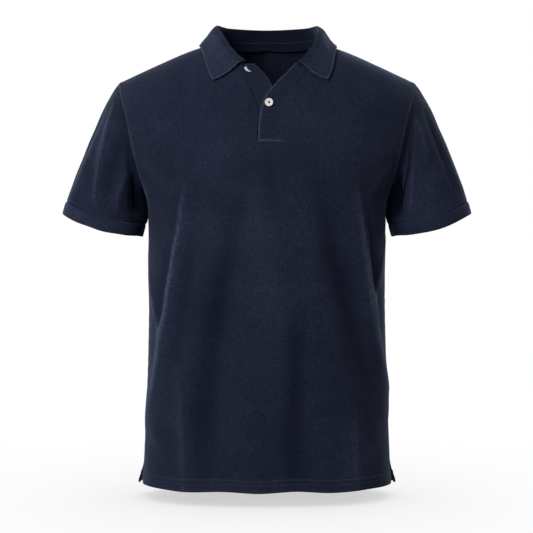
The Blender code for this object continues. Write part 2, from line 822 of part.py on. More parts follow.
def build_shirt():
    """The whole shirt, piece by piece in sewing order."""
    clear_scene()
    shirt = new_collection("polo_shirt")
    cutters = new_collection("cutters")
    knit = knit_material()
    rib = rib_material()
    make_front(knit, shirt)
    make_back(knit, shirt)
    for name, hand in (("left", 1), ("right", -1)):
        make_sleeve("sleeve_" + name, hand, knit, shirt)
        make_cuff("cuff_" + name, hand, rib, shirt)
    make_under_placket(knit, shirt)
    make_over_placket(knit, shirt)
    make_collar(rib, shirt)
    make_buttons(button_material(), shirt, cutters)


build_shirt()
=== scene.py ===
from math import cos, pi, radians, sin

import bmesh
import bpy
import numpy as np
from mathutils import Matrix, Vector


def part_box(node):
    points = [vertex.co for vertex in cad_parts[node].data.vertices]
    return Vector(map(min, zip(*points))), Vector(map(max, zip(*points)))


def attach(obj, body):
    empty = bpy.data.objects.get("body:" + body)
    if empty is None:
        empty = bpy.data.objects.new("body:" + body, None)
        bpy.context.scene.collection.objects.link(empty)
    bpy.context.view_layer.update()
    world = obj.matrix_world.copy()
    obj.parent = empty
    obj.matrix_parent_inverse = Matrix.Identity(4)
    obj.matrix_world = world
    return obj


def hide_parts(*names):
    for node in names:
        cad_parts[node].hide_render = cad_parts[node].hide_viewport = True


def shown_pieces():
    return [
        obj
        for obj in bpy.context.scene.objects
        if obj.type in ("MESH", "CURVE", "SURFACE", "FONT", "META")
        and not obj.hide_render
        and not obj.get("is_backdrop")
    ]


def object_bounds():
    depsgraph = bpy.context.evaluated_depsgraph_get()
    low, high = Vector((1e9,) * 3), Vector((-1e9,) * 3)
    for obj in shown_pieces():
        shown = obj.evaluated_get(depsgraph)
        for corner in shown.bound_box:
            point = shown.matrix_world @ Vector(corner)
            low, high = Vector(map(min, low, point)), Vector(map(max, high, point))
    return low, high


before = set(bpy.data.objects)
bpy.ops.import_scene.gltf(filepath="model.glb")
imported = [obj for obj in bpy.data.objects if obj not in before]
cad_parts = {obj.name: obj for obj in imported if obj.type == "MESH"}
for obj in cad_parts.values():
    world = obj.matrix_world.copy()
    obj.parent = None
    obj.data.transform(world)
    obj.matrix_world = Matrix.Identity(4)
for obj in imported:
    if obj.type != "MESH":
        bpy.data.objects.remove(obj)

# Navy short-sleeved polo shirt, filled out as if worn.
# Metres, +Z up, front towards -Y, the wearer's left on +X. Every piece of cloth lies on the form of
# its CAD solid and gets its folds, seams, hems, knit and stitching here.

cad_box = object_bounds()

# ---------------- sizes of the form

WALL = 0.0008
PLACKET_WALL = 0.0006
BAND_WALL = 0.0007
COLLAR_WALL = 0.0013
SEAM_GAP = 0.0003
LAYER_LIFT = 0.0020             # how far the over placket lies above the front
HEM = -0.703
VENT_TOP = -0.664
UNDERARM = -0.240
SLOT_FOOT = -0.160
NECK_FRONT = -0.038
CHEST_TOP = -0.120
SQUARENESS = 2.3
BACK_NECK_HEIGHT = 0.0075
NECK_SIDE = 0.084
HEM_DEPTH = 0.0205
HEM_STITCHES = (0.0125, 0.0190)               # heights above the hem
PLACKET_FOOT_STITCHES = (0.0055, 0.0155)       # heights above the placket's foot

# height, front half width, back half width, front depth, back depth
BODY_SECTIONS = (
    (-0.703, 0.2000, 0.2080, 0.127, 0.118),
    (-0.664, 0.1985, 0.1985, 0.128, 0.116),
    (-0.560, 0.1940, 0.1940, 0.129, 0.112),
    (-0.450, 0.1910, 0.1910, 0.131, 0.110),
    (-0.350, 0.1900, 0.1900, 0.133, 0.112),
    (-0.290, 0.1915, 0.1915, 0.134, 0.117),
    (-0.240, 0.1965, 0.1965, 0.133, 0.121),
    (-0.200, 0.2220, 0.2220, 0.130, 0.123),
    (-0.160, 0.2420, 0.2420, 0.125, 0.122),
    (-0.120, 0.2475, 0.2475, 0.119, 0.118),
)

# distance from the middle, height of the shoulder ridge
SHOULDER_RIDGE = (
    (0.000, 0.028),
    (0.050, 0.017),
    (0.085, 0.006),
    (0.128, -0.008),
    (0.183, -0.032),
    (0.241, -0.0585),
)

# height, distance of the armhole seam from the middle
ARMHOLE = (
    (-0.2400, 0.1965),
    (-0.2250, 0.2000),
    (-0.2000, 0.2065),
    (-0.1700, 0.2135),
    (-0.1400, 0.2200),
    (-0.1100, 0.2275),
    (-0.0850, 0.2345),
    (-0.0585, 0.2410),
)

# height, edge of the wearer's right front, edge of the wearer's left front
FRONT_OPENING = (
    (-0.703, -0.0138, 0.0215),
    (-0.130, -0.0138, 0.0215),
    (-0.108, -0.0145, 0.0225),
    (-0.090, -0.0200, 0.0290),
    (-0.072, -0.0275, 0.0405),
    (-0.055, -0.0385, 0.0540),
    (-0.038, -0.0520, 0.0670),
    (-0.022, -0.0655, 0.0765),
    (-0.008, -0.0765, 0.0820),
    (0.006, -0.0840, 0.0840),
)

# height, free edge of the under placket, free edge of the over placket
PLACKET_FREE_EDGES = (
    (-0.165, 0.0200, -0.0138),
    (-0.131, 0.0200, -0.0125),
    (-0.108, 0.0170, -0.0090),
    (-0.090, 0.0125, -0.0025),
    (-0.073, 0.0080, 0.0105),
    (-0.055, -0.0030, 0.0280),
    (-0.038, -0.0195, 0.0436),
)
OVER_PLACKET_LAP = 0.003

# Sleeve and band, given for the wearer's left
CUFF_CENTRE = (0.2660, -0.0040, -0.2870)
CUFF_LEAN = radians(15.9)
CUFF_HALF_WIDTH = 0.0658
CUFF_HALF_DEPTH = 0.0520
CUFF_BAND = 0.020
CUFF_STEP = 0.0009
CUFF_DROOP_FRONT = 0.009
CUFF_DROOP_BACK = 0.004
SLEEVE_LEAVE = 0.050
SLEEVE_ARRIVE = 0.85
UNDERARM_SPREAD = 0.5

# share of the neckline, fold x y z, outer edge x y z, sag of the fall's middle
COLLAR_SECTIONS = (
    (0.00, -0.0345, -0.0980, -0.0340, -0.0837, -0.1085, -0.0645, 0.0042),
    (0.07, -0.0500, -0.0850, -0.0190, -0.0910, -0.0985, -0.0520, 0.0040),
    (0.15, -0.0680, -0.0560, 0.0110, -0.0995, -0.0720, -0.0270, 0.0000),
    (0.26, -0.0810, -0.0040, 0.0355, -0.1085, -0.0120, 0.0010, 0.0000),
    (0.38, -0.0600, 0.0430, 0.0380, -0.0840, 0.0640, -0.0040, 0.0000),
    (0.50, 0.0000, 0.0660, 0.0385, 0.0000, 0.0850, -0.0080, 0.0000),
    (0.62, 0.0610, 0.0430, 0.0380, 0.0850, 0.0640, -0.0040, 0.0000),
    (0.74, 0.0825, -0.0040, 0.0345, 0.1110, -0.0120, 0.0010, 0.0000),
    (0.85, 0.0790, -0.0520, 0.0110, 0.1070, -0.0680, -0.0270, 0.0000),
    (0.93, 0.0650, -0.0790, -0.0180, 0.1020, -0.0920, -0.0490, 0.0030),
    (1.00, 0.0480, -0.0945, -0.0400, 0.0945, -0.1050, -0.0640, 0.0046),
)
COLLAR_ROUND = 0.0030
COLLAR_CLEARANCE = 0.0045
FOLD_CLEARANCE = 0.0062
COLLAR_SEAM_RISE = 0.0009
COLLAR_WAVE = 0.0007
COLLAR_RIPPLE = 0.0003
COLLAR_RIM = 0.0005               # height of the rim's roll, and depth of the groove inside it
STAND_TUCK = (0.0016, 0.0042)     # how far the stand's seam allowance goes in, and down

BUTTON_THICKNESS = 0.0024
HOLE_SPACING = 0.0015
BUTTON_LOWER_PLACE = (0.0030, -0.1010)
BUTTON_TOP_PLACE = (-0.0285, -0.0480)
TOP_BUTTON_TILT = radians(52)
TOP_BUTTON_AXIS = (-0.45, 0.0, 0.9)
TOP_BUTTON_SHIFT = (-0.0010, 0.0012, -0.0005)
BUTTON_THREAD_RADIUS = 0.00075

SIDES = (("left", 1), ("right", -1))
# length of knit round a sleeve and round its band
SLEEVE_LOOP = 0.40
BAND_LOOP = 0.372
# distances of the stitching from the armhole seam, the vent's edge and the sleeve's foot
ARMHOLE_STITCHES = 0.0062
VENT_STITCHES = 0.0060
CUFF_STITCHES = 0.0022
STAND_STITCH_ROW = 6

# ---------------- folds
# x z of a fold's top, middle and foot, its width on the -X side and on the +X side, height,
# crest (2 is round, less is sharper)

FRONT_FOLDS = (
    (-0.128, -0.215, -0.1545, -0.400, -0.197, -0.620, 0.006, 0.013, 0.0080, 1.1),
    (-0.186, -0.300, -0.179, -0.413, -0.166, -0.485, 0.005, 0.006, 0.0050, 1.1),
    (-0.140, -0.225, -0.164, -0.400, -0.196, -0.560, 0.007, 0.007, -0.0035, 1.8),
    (-0.108, -0.215, -0.133, -0.405, -0.158, -0.560, 0.014, 0.016, -0.0042, 1.9),
    (-0.030, -0.215, -0.085, -0.480, -0.104, -0.760, 0.030, 0.020, -0.0048, 1.9),
    (-0.146, -0.500, -0.133, -0.600, -0.136, -0.760, 0.014, 0.014, 0.0045, 1.7),
    (0.140, -0.225, 0.1635, -0.405, 0.203, -0.600, 0.020, 0.007, 0.0085, 1.1),
    (0.152, -0.225, 0.1735, -0.400, 0.194, -0.540, 0.006, 0.007, -0.0040, 1.8),
    (0.190, -0.300, 0.179, -0.362, 0.168, -0.430, 0.005, 0.005, 0.0042, 1.1),
    (0.080, -0.215, 0.112, -0.370, 0.176, -0.580, 0.022, 0.022, -0.0058, 1.9),
    (0.046, -0.420, 0.044, -0.560, 0.050, -0.760, 0.016, 0.020, -0.0050, 2.0),
    (-0.002, -0.230, 0.002, -0.330, -0.006, -0.450, 0.040, 0.034, 0.0030, 2.0),
    (0.140, -0.570, 0.138, -0.640, 0.142, -0.760, 0.016, 0.014, 0.0045, 1.8),
    (0.176, -0.590, 0.168, -0.630, 0.156, -0.672, 0.006, 0.007, 0.0022, 1.6),
    (-0.186, -0.600, -0.174, -0.630, -0.160, -0.668, 0.007, 0.006, 0.0022, 1.6),
    (-0.024, -0.060, -0.020, -0.100, -0.017, -0.150, 0.010, 0.006, -0.0020, 2.0),
    (0.200, -0.190, 0.180, -0.215, 0.150, -0.260, 0.010, 0.010, 0.0030, 1.7),
    (-0.200, -0.180, -0.178, -0.210, -0.142, -0.250, 0.010, 0.010, 0.0030, 1.7),
    (0.010, -0.165, 0.004, -0.220, 0.012, -0.300, 0.010, 0.012, -0.0016, 1.8),
)
BACK_FOLDS = (
    (-0.112, -0.160, -0.140, -0.360, -0.156, -0.600, 0.024, 0.016, 0.0075, 1.6),
    (-0.182, -0.290, -0.176, -0.370, -0.186, -0.450, 0.009, 0.010, 0.0035, 1.6),
    (0.118, -0.180, 0.136, -0.380, 0.150, -0.620, 0.017, 0.026, 0.0070, 1.6),
    (0.180, -0.310, 0.172, -0.400, 0.182, -0.500, 0.008, 0.010, 0.0035, 1.6),
    (0.012, -0.230, -0.006, -0.480, -0.022, -0.760, 0.038, 0.030, -0.0058, 2.0),
    (-0.064, -0.300, -0.078, -0.520, -0.090, -0.760, 0.020, 0.024, 0.0045, 1.9),
    (0.072, -0.260, 0.080, -0.470, 0.066, -0.760, 0.022, 0.018, 0.0040, 1.9),
    (0.112, -0.480, 0.106, -0.600, 0.112, -0.760, 0.014, 0.016, -0.0040, 1.9),
    (-0.126, -0.460, -0.120, -0.600, -0.128, -0.760, 0.016, 0.013, -0.0035, 1.9),
    (0.030, -0.040, 0.060, -0.090, 0.115, -0.150, 0.016, 0.020, -0.0025, 2.0),
    (-0.030, -0.050, -0.064, -0.095, -0.110, -0.160, 0.020, 0.016, -0.0025, 2.0),
)
# the same on a sleeve: degrees round it (0 outside, 90 front, 180 underarm) and share of its
# length, counted down as a negative number
SLEEVE_FOLDS = {
    1: (
        (134.0, 0.02, 140.0, -0.50, 158.0, -1.15, 15.0, 14.0, -0.0125, 2.0),
        (96.0, -0.36, 108.0, -0.56, 124.0, -0.92, 10.0, 10.0, 0.0035, 1.7),
        (84.0, -0.24, 112.0, -0.43, 150.0, -0.60, 9.0, 8.0, -0.0055, 1.7),
        (54.0, -0.12, 60.0, -0.32, 68.0, -0.56, 7.0, 8.0, 0.0042, 1.3),
        (28.0, -0.25, 34.0, -0.50, 40.0, -0.96, 10.0, 9.0, -0.0040, 1.9),
        (-40.0, -0.15, -48.0, -0.45, -60.0, -0.90, 11.0, 14.0, 0.0045, 1.7),
        (-95.0, -0.10, -100.0, -0.45, -92.0, -0.92, 14.0, 12.0, -0.0060, 1.9),
        (-140.0, -0.05, -128.0, -0.40, -138.0, -0.90, 10.0, 12.0, 0.0045, 1.7),
    ),
    -1: (
        (134.0, 0.02, 141.0, -0.50, 160.0, -1.15, 15.0, 13.0, -0.0125, 2.0),
        (112.0, -0.35, 106.0, -0.60, 112.0, -0.98, 10.0, 9.0, 0.0045, 1.6),
        (84.0, -0.10, 82.0, -0.40, 90.0, -0.90, 14.0, 14.0, -0.0035, 1.9),
        (30.0, -0.16, 54.0, -0.50, 76.0, -0.92, 8.0, 10.0, 0.0060, 1.3),
        (12.0, -0.30, 10.0, -0.55, 14.0, -0.90, 9.0, 9.0, -0.0030, 1.9),
        (-46.0, -0.12, -55.0, -0.50, -64.0, -0.92, 13.0, 11.0, 0.0050, 1.7),
        (-100.0, -0.10, -94.0, -0.45, -102.0, -0.95, 12.0, 14.0, -0.0060, 1.9),
        (-142.0, -0.05, -132.0, -0.45, -144.0, -0.95, 11.0, 10.0, 0.0040, 1.7),
    ),
}

# how pale the cloth is: plain cloth and the strips, the deepest painted shade in folds and troughs,
# the palest painted highlight from raised relief, and the palest that wear and painted crest
# highlights go
PLAIN_WEAR = 0.35
STRIP_WEAR = 0.22
DEEPEST_PAINTED_SHADE = -0.8
PAINTED_RELIEF_PALEST = 0.8
WEAR_AND_HIGHLIGHT_PALEST = 4.0
CREST_HIGHLIGHT_SHARE = 0.20            # part of a ridge's width that gets the painted highlight


# ---------------- tables and small helpers

def read(rows, key, column):
    """One column of a table at values of its first column, on a smooth curve."""
    table = np.asarray(rows, float)
    keys, values = table[:, 0], table[:, column]
    key = np.clip(key, keys[0], keys[-1])
    index = np.clip(np.searchsorted(keys, key, side="right") - 1, 0, len(keys) - 2)
    slopes = np.empty(len(keys))
    slopes[1:-1] = (values[2:] - values[:-2]) / (keys[2:] - keys[:-2])
    slopes[0] = (values[1] - values[0]) / (keys[1] - keys[0])
    slopes[-1] = (values[-1] - values[-2]) / (keys[-1] - keys[-2])
    span = keys[index + 1] - keys[index]
    f = (key - keys[index]) / span
    smooth = values[index] * (1 + 2 * f) * (1 - f) ** 2 + values[index + 1] * (3 - 2 * f) * f ** 2
    return smooth + span * (slopes[index] * f * (1 - f) ** 2 + slopes[index + 1] * f ** 2 * (f - 1))


UP = np.array((0.0, 0.0, 1.0))


def along_line(places, run, points):
    """Points of a line, or directions given along it, at lengths of its run."""
    return np.stack([np.interp(places, run, points[:, k]) for k in range(3)], axis=-1)


def unit(vectors):
    return vectors / np.maximum(np.linalg.norm(vectors, axis=-1, keepdims=True), 1e-12)


def bell(value, middle, width):
    """1 at a middle, falling smoothly to nothing at about two widths."""
    return np.exp(-((value - middle) / width) ** 2)


def nearest(values, wanted):
    return int(np.argmin(np.abs(values - wanted)))


def ease(value, width):
    """0 at an edge, rising softly to 1 at a distance of width."""
    f = np.clip(value / width, 0.0, 1.0)
    return f * f * (3 - 2 * f)


def wobble(u, v, size, seed):
    """Soft irregular waves about size long, from -1 to 1."""
    chance = np.random.default_rng(seed)
    total = 0.0
    for _ in range(7):
        turn, phase = chance.uniform(0, 2 * pi, 2)
        wave = 2 * pi / (size * chance.uniform(0.7, 1.8))
        total = total + np.sin(wave * (u * cos(turn) + v * sin(turn)) + phase)
    return total / 4.0


def fold_sum(folds, x, z, period=None):
    """Height of a table's soft ridges and troughs, and a painted highlight that is strongest along
    sharp crests.
    """
    total = np.zeros(np.shape(x))
    painted_crest_highlights = np.zeros(np.shape(x))
    for x0, z0, x1, z1, x2, z2, left, right, height, crest in folds:
        s = (z0 - z) / (z0 - z2)
        m = (z0 - z1) / (z0 - z2)
        line = x0 * (s - m) * (s - 1) / m
        line = line + x1 * s * (s - 1) / (m * (m - 1)) + x2 * s * (s - m) / (1 - m)
        off = x - line
        if period:
            off = (off + period / 2) % period - period / 2
        grow = 0.75 + 0.5 * np.clip(s, 0, 1)
        off = off / (np.where(off < 0, left, right) * grow)
        fade = np.where((s > 0) & (s < 1), np.sin(pi * np.clip(s, 0, 1)), 0.0) ** 0.8
        total += height * fade * np.exp(-np.abs(off) ** crest)
        if height > 0:
            # painted highlight along the crest of each raised fold
            sharp = np.clip(height / 0.006, 0, 1.2) * 1.5 * (2.0 - crest)
            painted_crest_highlights += sharp * fade * bell(off, 0.0, CREST_HIGHLIGHT_SHARE)
    return total, painted_crest_highlights


# ---------------- body form

def ridge_rise(x):
    return read(SHOULDER_RIDGE, np.abs(x), 1) - CHEST_TOP


def height_of(level):
    return HEM + np.minimum(level, 1.0) * (CHEST_TOP - HEM)


def low_level(height):
    return (height - HEM) / (CHEST_TOP - HEM)


def section(side, height):
    columns = (1, 3) if side < 0 else (2, 4)
    return read(BODY_SECTIONS, height, columns[0]), read(BODY_SECTIONS, height, columns[1])


def bare(side, x, level):
    """Points of the body form; levels 0 to 1 rise from the hem, 1 to 2 go over the shoulder."""
    x, level = np.broadcast_arrays(np.asarray(x, float), np.asarray(level, float))
    height = height_of(level)
    width, depth = section(side, height)
    share = np.minimum(np.abs(x) / width, 1.0)
    y = side * depth * (1.0 - share ** SQUARENESS) ** (1.0 / SQUARENESS)
    turn = np.maximum(level - 1.0, 0.0) * pi / 2
    z = np.where(level <= 1.0, height, CHEST_TOP + ridge_rise(x) * np.sin(turn))
    return np.stack([x, y * np.cos(turn), z], axis=-1)


def level_at(x, height):
    x, height = np.broadcast_arrays(np.asarray(x, float), np.asarray(height, float))
    rise = np.clip((height - CHEST_TOP) / ridge_rise(x), 0.0, 1.0)
    return np.where(height <= CHEST_TOP, low_level(height), 1.0 + np.arcsin(rise) / (pi / 2))


def form_normal(side, x, level):
    x, level = np.broadcast_arrays(np.asarray(x, float), np.asarray(level, float))
    step = 0.0005
    width = section(side, height_of(level))[0]
    x = np.clip(x, -width + 2 * step, width - 2 * step)
    along = bare(side, x + step, level) - bare(side, x - step, level)
    middle = np.minimum(level, 1.998)
    up = bare(side, x, middle + 0.002) - bare(side, x, middle - 0.002)
    return unit(np.cross(along, up)) * -side


def settle(edge, level):
    """Distance from the middle at which an edge, given by height, crosses a level."""
    x = edge(np.full(np.shape(level), HEM))
    for _ in range(12):
        x = edge(bare(-1, x, level)[..., 2])
    return x


def outer_edge(side, level):
    height = height_of(level)
    seam = settle(lambda z: read(ARMHOLE, z, 1), level)
    return np.where(height <= UNDERARM, section(side, height)[0], seam)


def opening_edge(hand, level):
    column = 1 if hand < 0 else 2
    return settle(lambda z: read(FRONT_OPENING, z, column), level)


def back_neck_edge(level):
    low = float(level_at(0.0, BACK_NECK_HEIGHT))
    share = np.clip((2.0 - level) / (2.0 - low), 0.0, 1.0)
    return np.where(level <= low, 0.0, NECK_SIDE * np.sqrt(1.0 - share ** 2))


# ---------------- grids

HALF_COLUMNS = 66
MIDDLE_COLUMNS = 12
ROW_STEP = 0.0038

# height above the hem, lift from the face: the turned-up hem, from its inner edge round the fold
HEM_ROWS = (
    (0.0200, -0.0024),
    (0.0130, -0.0024),
    (0.0060, -0.0024),
    (0.0016, -0.0024),
    (0.0004, -0.0021),
    (-0.0003, -0.0012),
    (0.0003, -0.0004),
    (0.0014, 0.0000),
)

# heights of the cloth's relief
FOLD_SWAY = 0.0018             # how far a fold wanders from its line
WAVE = 0.0007
RIPPLE = 0.00016
SEAM_GROOVE = 0.0007
SEAM_PUCKER = 0.0005
HEM_LAYER = 0.0009
HEM_GROOVE = 0.0006
HEM_PUCKER = 0.0005
HEM_DROOP = 0.0024
NECK_GROOVE = 0.0003


def lengthwise(points, axis):
    """Running length of a grid's lines along an axis."""
    steps = np.linalg.norm(np.diff(points, axis=axis), axis=-1)
    shape = list(steps.shape)
    shape[axis] = 1
    return np.concatenate([np.zeros(shape), np.cumsum(steps, axis=axis)], axis=axis)


def panel_rows():
    """Levels of a panel's rows up to the chest top, with their lift at the hem fold."""
    heights = [HEM + rise for rise, _ in HEM_ROWS]
    lifts = [lift for _, lift in HEM_ROWS]
    fine = list(np.arange(HEM + 0.0026, HEM + 0.0250, 0.0011))
    marks = sorted([VENT_TOP, UNDERARM, SLOT_FOOT, CHEST_TOP])
    start = HEM + 0.0270
    for mark in marks:
        count = max(int(round((mark - start) / ROW_STEP)), 1)
        fine += list(np.linspace(start, mark, count, endpoint=False))
        start = mark
    fine.append(CHEST_TOP)
    return low_level(np.array(heights + fine)), np.array(lifts + [0.0] * len(fine))


def half_columns(side, levels, inner, outer):
    """Distances of a panel half's columns from its inner edge to its seam, closer at both."""
    width = section(side, height_of(levels))[0]
    power = SQUARENESS / 2
    start = np.arcsin(np.minimum(np.abs(inner) / width, 1.0) ** power)[:, None]
    end = np.arcsin(np.minimum(outer / width, 1.0) ** power)[:, None]
    t = np.linspace(0.0, 1.0, HALF_COLUMNS + 1)[None, :]
    t = 0.45 * t + 0.55 * (0.5 - 0.5 * np.cos(pi * t))
    xs = width[:, None] * np.sin(start + (end - start) * t) ** (1 / power)
    xs[:, 0], xs[:, -1] = np.abs(inner), outer
    return xs


def hem_relief(z):
    """Height of the turned hem's second layer, with its two stitched grooves."""
    rise = z - HEM
    relief = HEM_LAYER * (1.0 - ease(rise - (HEM_DEPTH - 0.0012), 0.0016))
    for place in HEM_STITCHES:
        relief = relief - HEM_GROOVE * bell(rise, place, 0.0011)
    return relief


def shape_panel(side, xs, levels, lifts, folds, neck_distance, seed):
    """Bare panel grid with its folds, waves, hem and seams pressed into it."""
    levels = levels[:, None] + np.zeros_like(xs)
    base = bare(side, xs, levels)
    normal = form_normal(side, xs, levels)
    run = lengthwise(base, 1)
    seam = np.minimum(run, run[:, -1:] - run)
    z = base[..., 2]
    x = base[..., 0] + FOLD_SWAY * wobble(z * 0.6, z, 0.09, seed)
    folded, painted_crest_highlights = fold_sum(folds, x, z)
    folded = folded + WAVE * wobble(x, z * 0.28, 0.060, seed + 1)
    folded += RIPPLE * wobble(x, z * 0.6, 0.020, seed + 2)
    shoulder = 1.0 - ease(z - CHEST_TOP, 0.10) * 0.7
    lift = folded * shoulder * ease(seam, 0.018) * (1.0 - 0.35 * np.exp(-(z - HEM) / 0.03))
    pucker = 0.5 + 0.5 * wobble(run * 0.2, z, 0.012, seed + 3)
    lift -= SEAM_GROOVE * bell(seam, 0.0, 0.0020)
    lift += SEAM_PUCKER * pucker * bell(seam, 0.0050, 0.0030)
    lift += HEM_PUCKER * bell(z - HEM, 0.010, 0.009) * wobble(x, z * 0.1, 0.010, seed + 4)
    lift += hem_relief(z) * (lifts[:, None] >= -0.0004)
    if neck_distance is not None:
        lift -= NECK_GROOVE * bell(neck_distance, 0.0, 0.0020)
    points = base + normal * (lift + lifts[:, None])[..., None]
    points[..., 1] += side * SEAM_GAP / 2
    drop = HEM_DROOP * wobble(x, 0.0, 0.110, seed + 5) * np.exp(-(z - HEM) / 0.06)
    points[..., 2] += drop * ease(seam, 0.05)
    return points, normal, panel_wear_and_painted_light(lift, painted_crest_highlights, seam, points[..., 2])


def grid_uv(points, centre):
    across = lengthwise(points, 1)
    across = across - across[:, centre:centre + 1]
    return np.stack([across, lengthwise(points, 0)], axis=-1)


def panel_wear_and_painted_light(lift, painted_crest_highlights, seam, z):
    """Paleness of a panel: painted shade in troughs and painted highlights on raised cloth and sharp
    crests, seam ridges worn paler with a painted rim highlight, and the hem's worn edge.
    """
    # painted shade in troughs, painted highlight on raised cloth and along sharp crests
    crest = np.clip(PLAIN_WEAR + lift / 0.013, DEEPEST_PAINTED_SHADE, PAINTED_RELIEF_PALEST) + 2.0 * painted_crest_highlights
    # seam ridges: worn paler, and raised further as a painted rim highlight at the silhouette
    ridge = 0.6 * bell(seam, 0.0040, 0.0032)
    edge = 0.6 * np.exp(-np.abs(z - HEM) / 0.0022)
    return np.clip(crest + ridge + edge, DEEPEST_PAINTED_SHADE, WEAR_AND_HIGHLIGHT_PALEST)


def front_grid():
    low_levels, low_lifts = panel_rows()
    over = 1.0 + np.sin(np.linspace(0, pi / 2, 44)[1:])
    levels = np.concatenate([low_levels, over])
    lifts = np.concatenate([low_lifts, np.zeros(len(over))])
    right, left = opening_edge(-1, levels), opening_edge(1, levels)
    outer = outer_edge(-1, levels)
    xs_right = -half_columns(-1, levels, right, outer)[:, ::-1]
    xs_left = half_columns(-1, levels, left, outer)
    t = np.linspace(0, 1, MIDDLE_COLUMNS + 1)[None, 1:-1]
    middle = right[:, None] + (left - right)[:, None] * t
    xs = np.concatenate([xs_right, middle, xs_left], axis=1)
    outline = bare(-1, xs, levels[:, None])
    run = lengthwise(outline, 1)
    left_column = HALF_COLUMNS + MIDDLE_COLUMNS
    near = np.minimum(np.abs(run - run[:, HALF_COLUMNS:HALF_COLUMNS + 1]),
                      np.abs(run - run[:, left_column:left_column + 1]))
    near = np.where(outline[..., 2] > SLOT_FOOT - 0.001, near, 1.0)
    mask = np.ones(np.subtract(xs.shape, 1), bool)
    mask[nearest(levels, float(level_at(0.0, SLOT_FOOT))):, HALF_COLUMNS:left_column] = False
    return *shape_panel(-1, xs, levels, lifts, FRONT_FOLDS, near, 11), mask


def back_grid():
    low_levels, low_lifts = panel_rows()
    low = float(level_at(0.0, BACK_NECK_HEIGHT))
    rise = np.linspace(1.0, low, 34)[1:]
    fan = low + (2.0 - low) * (1.0 - np.cos(np.linspace(0, pi / 2, 22)[1:]))
    levels = np.concatenate([low_levels, rise, fan])
    lifts = np.concatenate([low_lifts, np.zeros(len(rise) + len(fan))])
    inner = back_neck_edge(levels)
    half = half_columns(1, levels, inner, outer_edge(1, levels))
    xs = np.concatenate([-half[:, ::-1], half], axis=1)
    mask = np.ones(np.subtract(xs.shape, 1), bool)
    mask[:, HALF_COLUMNS] = False
    return *shape_panel(1, xs, levels, lifts, BACK_FOLDS, None, 31), mask


# ---------------- sleeves and bands

SLEEVE_COLUMNS = 128
SLEEVE_ROWS = 84
SLEEVE_SIZE = (0.065, 0.052)   # half width and half depth that its waves are measured on
ARMHOLE_TUCK = 0.0042          # how far the sleeve starts inside the panels' edge
UNDERARM_REST = 0.0074         # how far the sleeve's underside rests in towards the body
SLEEVE_TUCK = 0.004            # how far the sleeve runs on inside its band
SLEEVE_WAVE = 0.0006
SLEEVE_HOLLOW = 0.0042         # how deep it sinks beside the armhole, front and back
ARMHOLE_GROOVE = 0.0009
CUFF_GATHER = 0.0007
CUFF_GROOVE = 0.0007
BAND_ROLL = 0.0007
RING = pi - 2 * pi * np.arange(SLEEVE_COLUMNS) / SLEEVE_COLUMNS    # angles of the columns


def armhole_ring(hand):
    """The armhole seam's points at the sleeve's columns, and the sleeve's directions there."""
    low = float(level_at(0.0, UNDERARM))
    levels = np.linspace(low, 2.0, 70)
    loops, normals = [], []
    for side, order in ((-1, levels), (1, levels[::-1])):
        x = hand * outer_edge(side, order)
        loops.append(bare(side, x, order))
        normals.append(form_normal(side, x, order))
    front_run = lengthwise(loops[0][None], 1)[0]
    back_run = lengthwise(loops[1][None], 1)[0]
    angles = np.concatenate([pi * (1 - front_run / front_run[-1]),
                             -pi * back_run[1:-1] / back_run[-1]])
    points = np.concatenate([loops[0], loops[1][1:-1]])
    normals = np.concatenate([normals[0], normals[1][1:-1]])
    normals[0] = (hand, 0.0, 0.0)
    along = np.roll(points, -1, axis=0) - np.roll(points, 1, axis=0)
    leaving = unit(np.cross(along, normals)) * hand
    keys = np.concatenate([-angles, [pi]])
    closed = [np.concatenate([a, a[:1]]) for a in (points, leaving)]
    start, leaving = [along_line(-RING, keys, line) for line in closed]
    return start, unit(leaving)


def down_arm(hand):
    return np.array((hand * sin(CUFF_LEAN), 0.0, -cos(CUFF_LEAN)))


def cuff_ring(hand, along, grow):
    """Points of the sleeve's end, along metres down the arm from the band's seam."""
    across = np.array((hand * cos(CUFF_LEAN), 0.0, sin(CUFF_LEAN)))
    down = down_arm(hand)
    forward = np.array((0.0, -1.0, 0.0))
    centre = np.array((hand * CUFF_CENTRE[0], CUFF_CENTRE[1], CUFF_CENTRE[2]))
    droop = np.where(np.sin(RING) > 0, CUFF_DROOP_FRONT, CUFF_DROOP_BACK) * np.sin(RING) ** 2
    reach = along - CUFF_BAND + droop
    return (centre + down * reach[..., None]
            + across * ((CUFF_HALF_WIDTH + grow) * np.cos(RING))[..., None]
            + forward * ((CUFF_HALF_DEPTH + grow) * np.sin(RING))[..., None])


def grid_normals(points, loop=False, flip=False):
    up = np.gradient(points, axis=0)
    if loop:
        across = np.roll(points, -1, axis=1) - np.roll(points, 1, axis=1)
    else:
        across = np.gradient(points, axis=1)
    return unit(np.cross(across, up)) * (-1 if flip else 1)


def ring_uv(points, loop_length):
    down = lengthwise(points, 0)
    down = np.concatenate([down, down[:, :1]], axis=1)
    u = np.linspace(0, loop_length, points.shape[1] + 1)[None, :] + np.zeros_like(down)
    return np.stack([u, down], axis=-1)


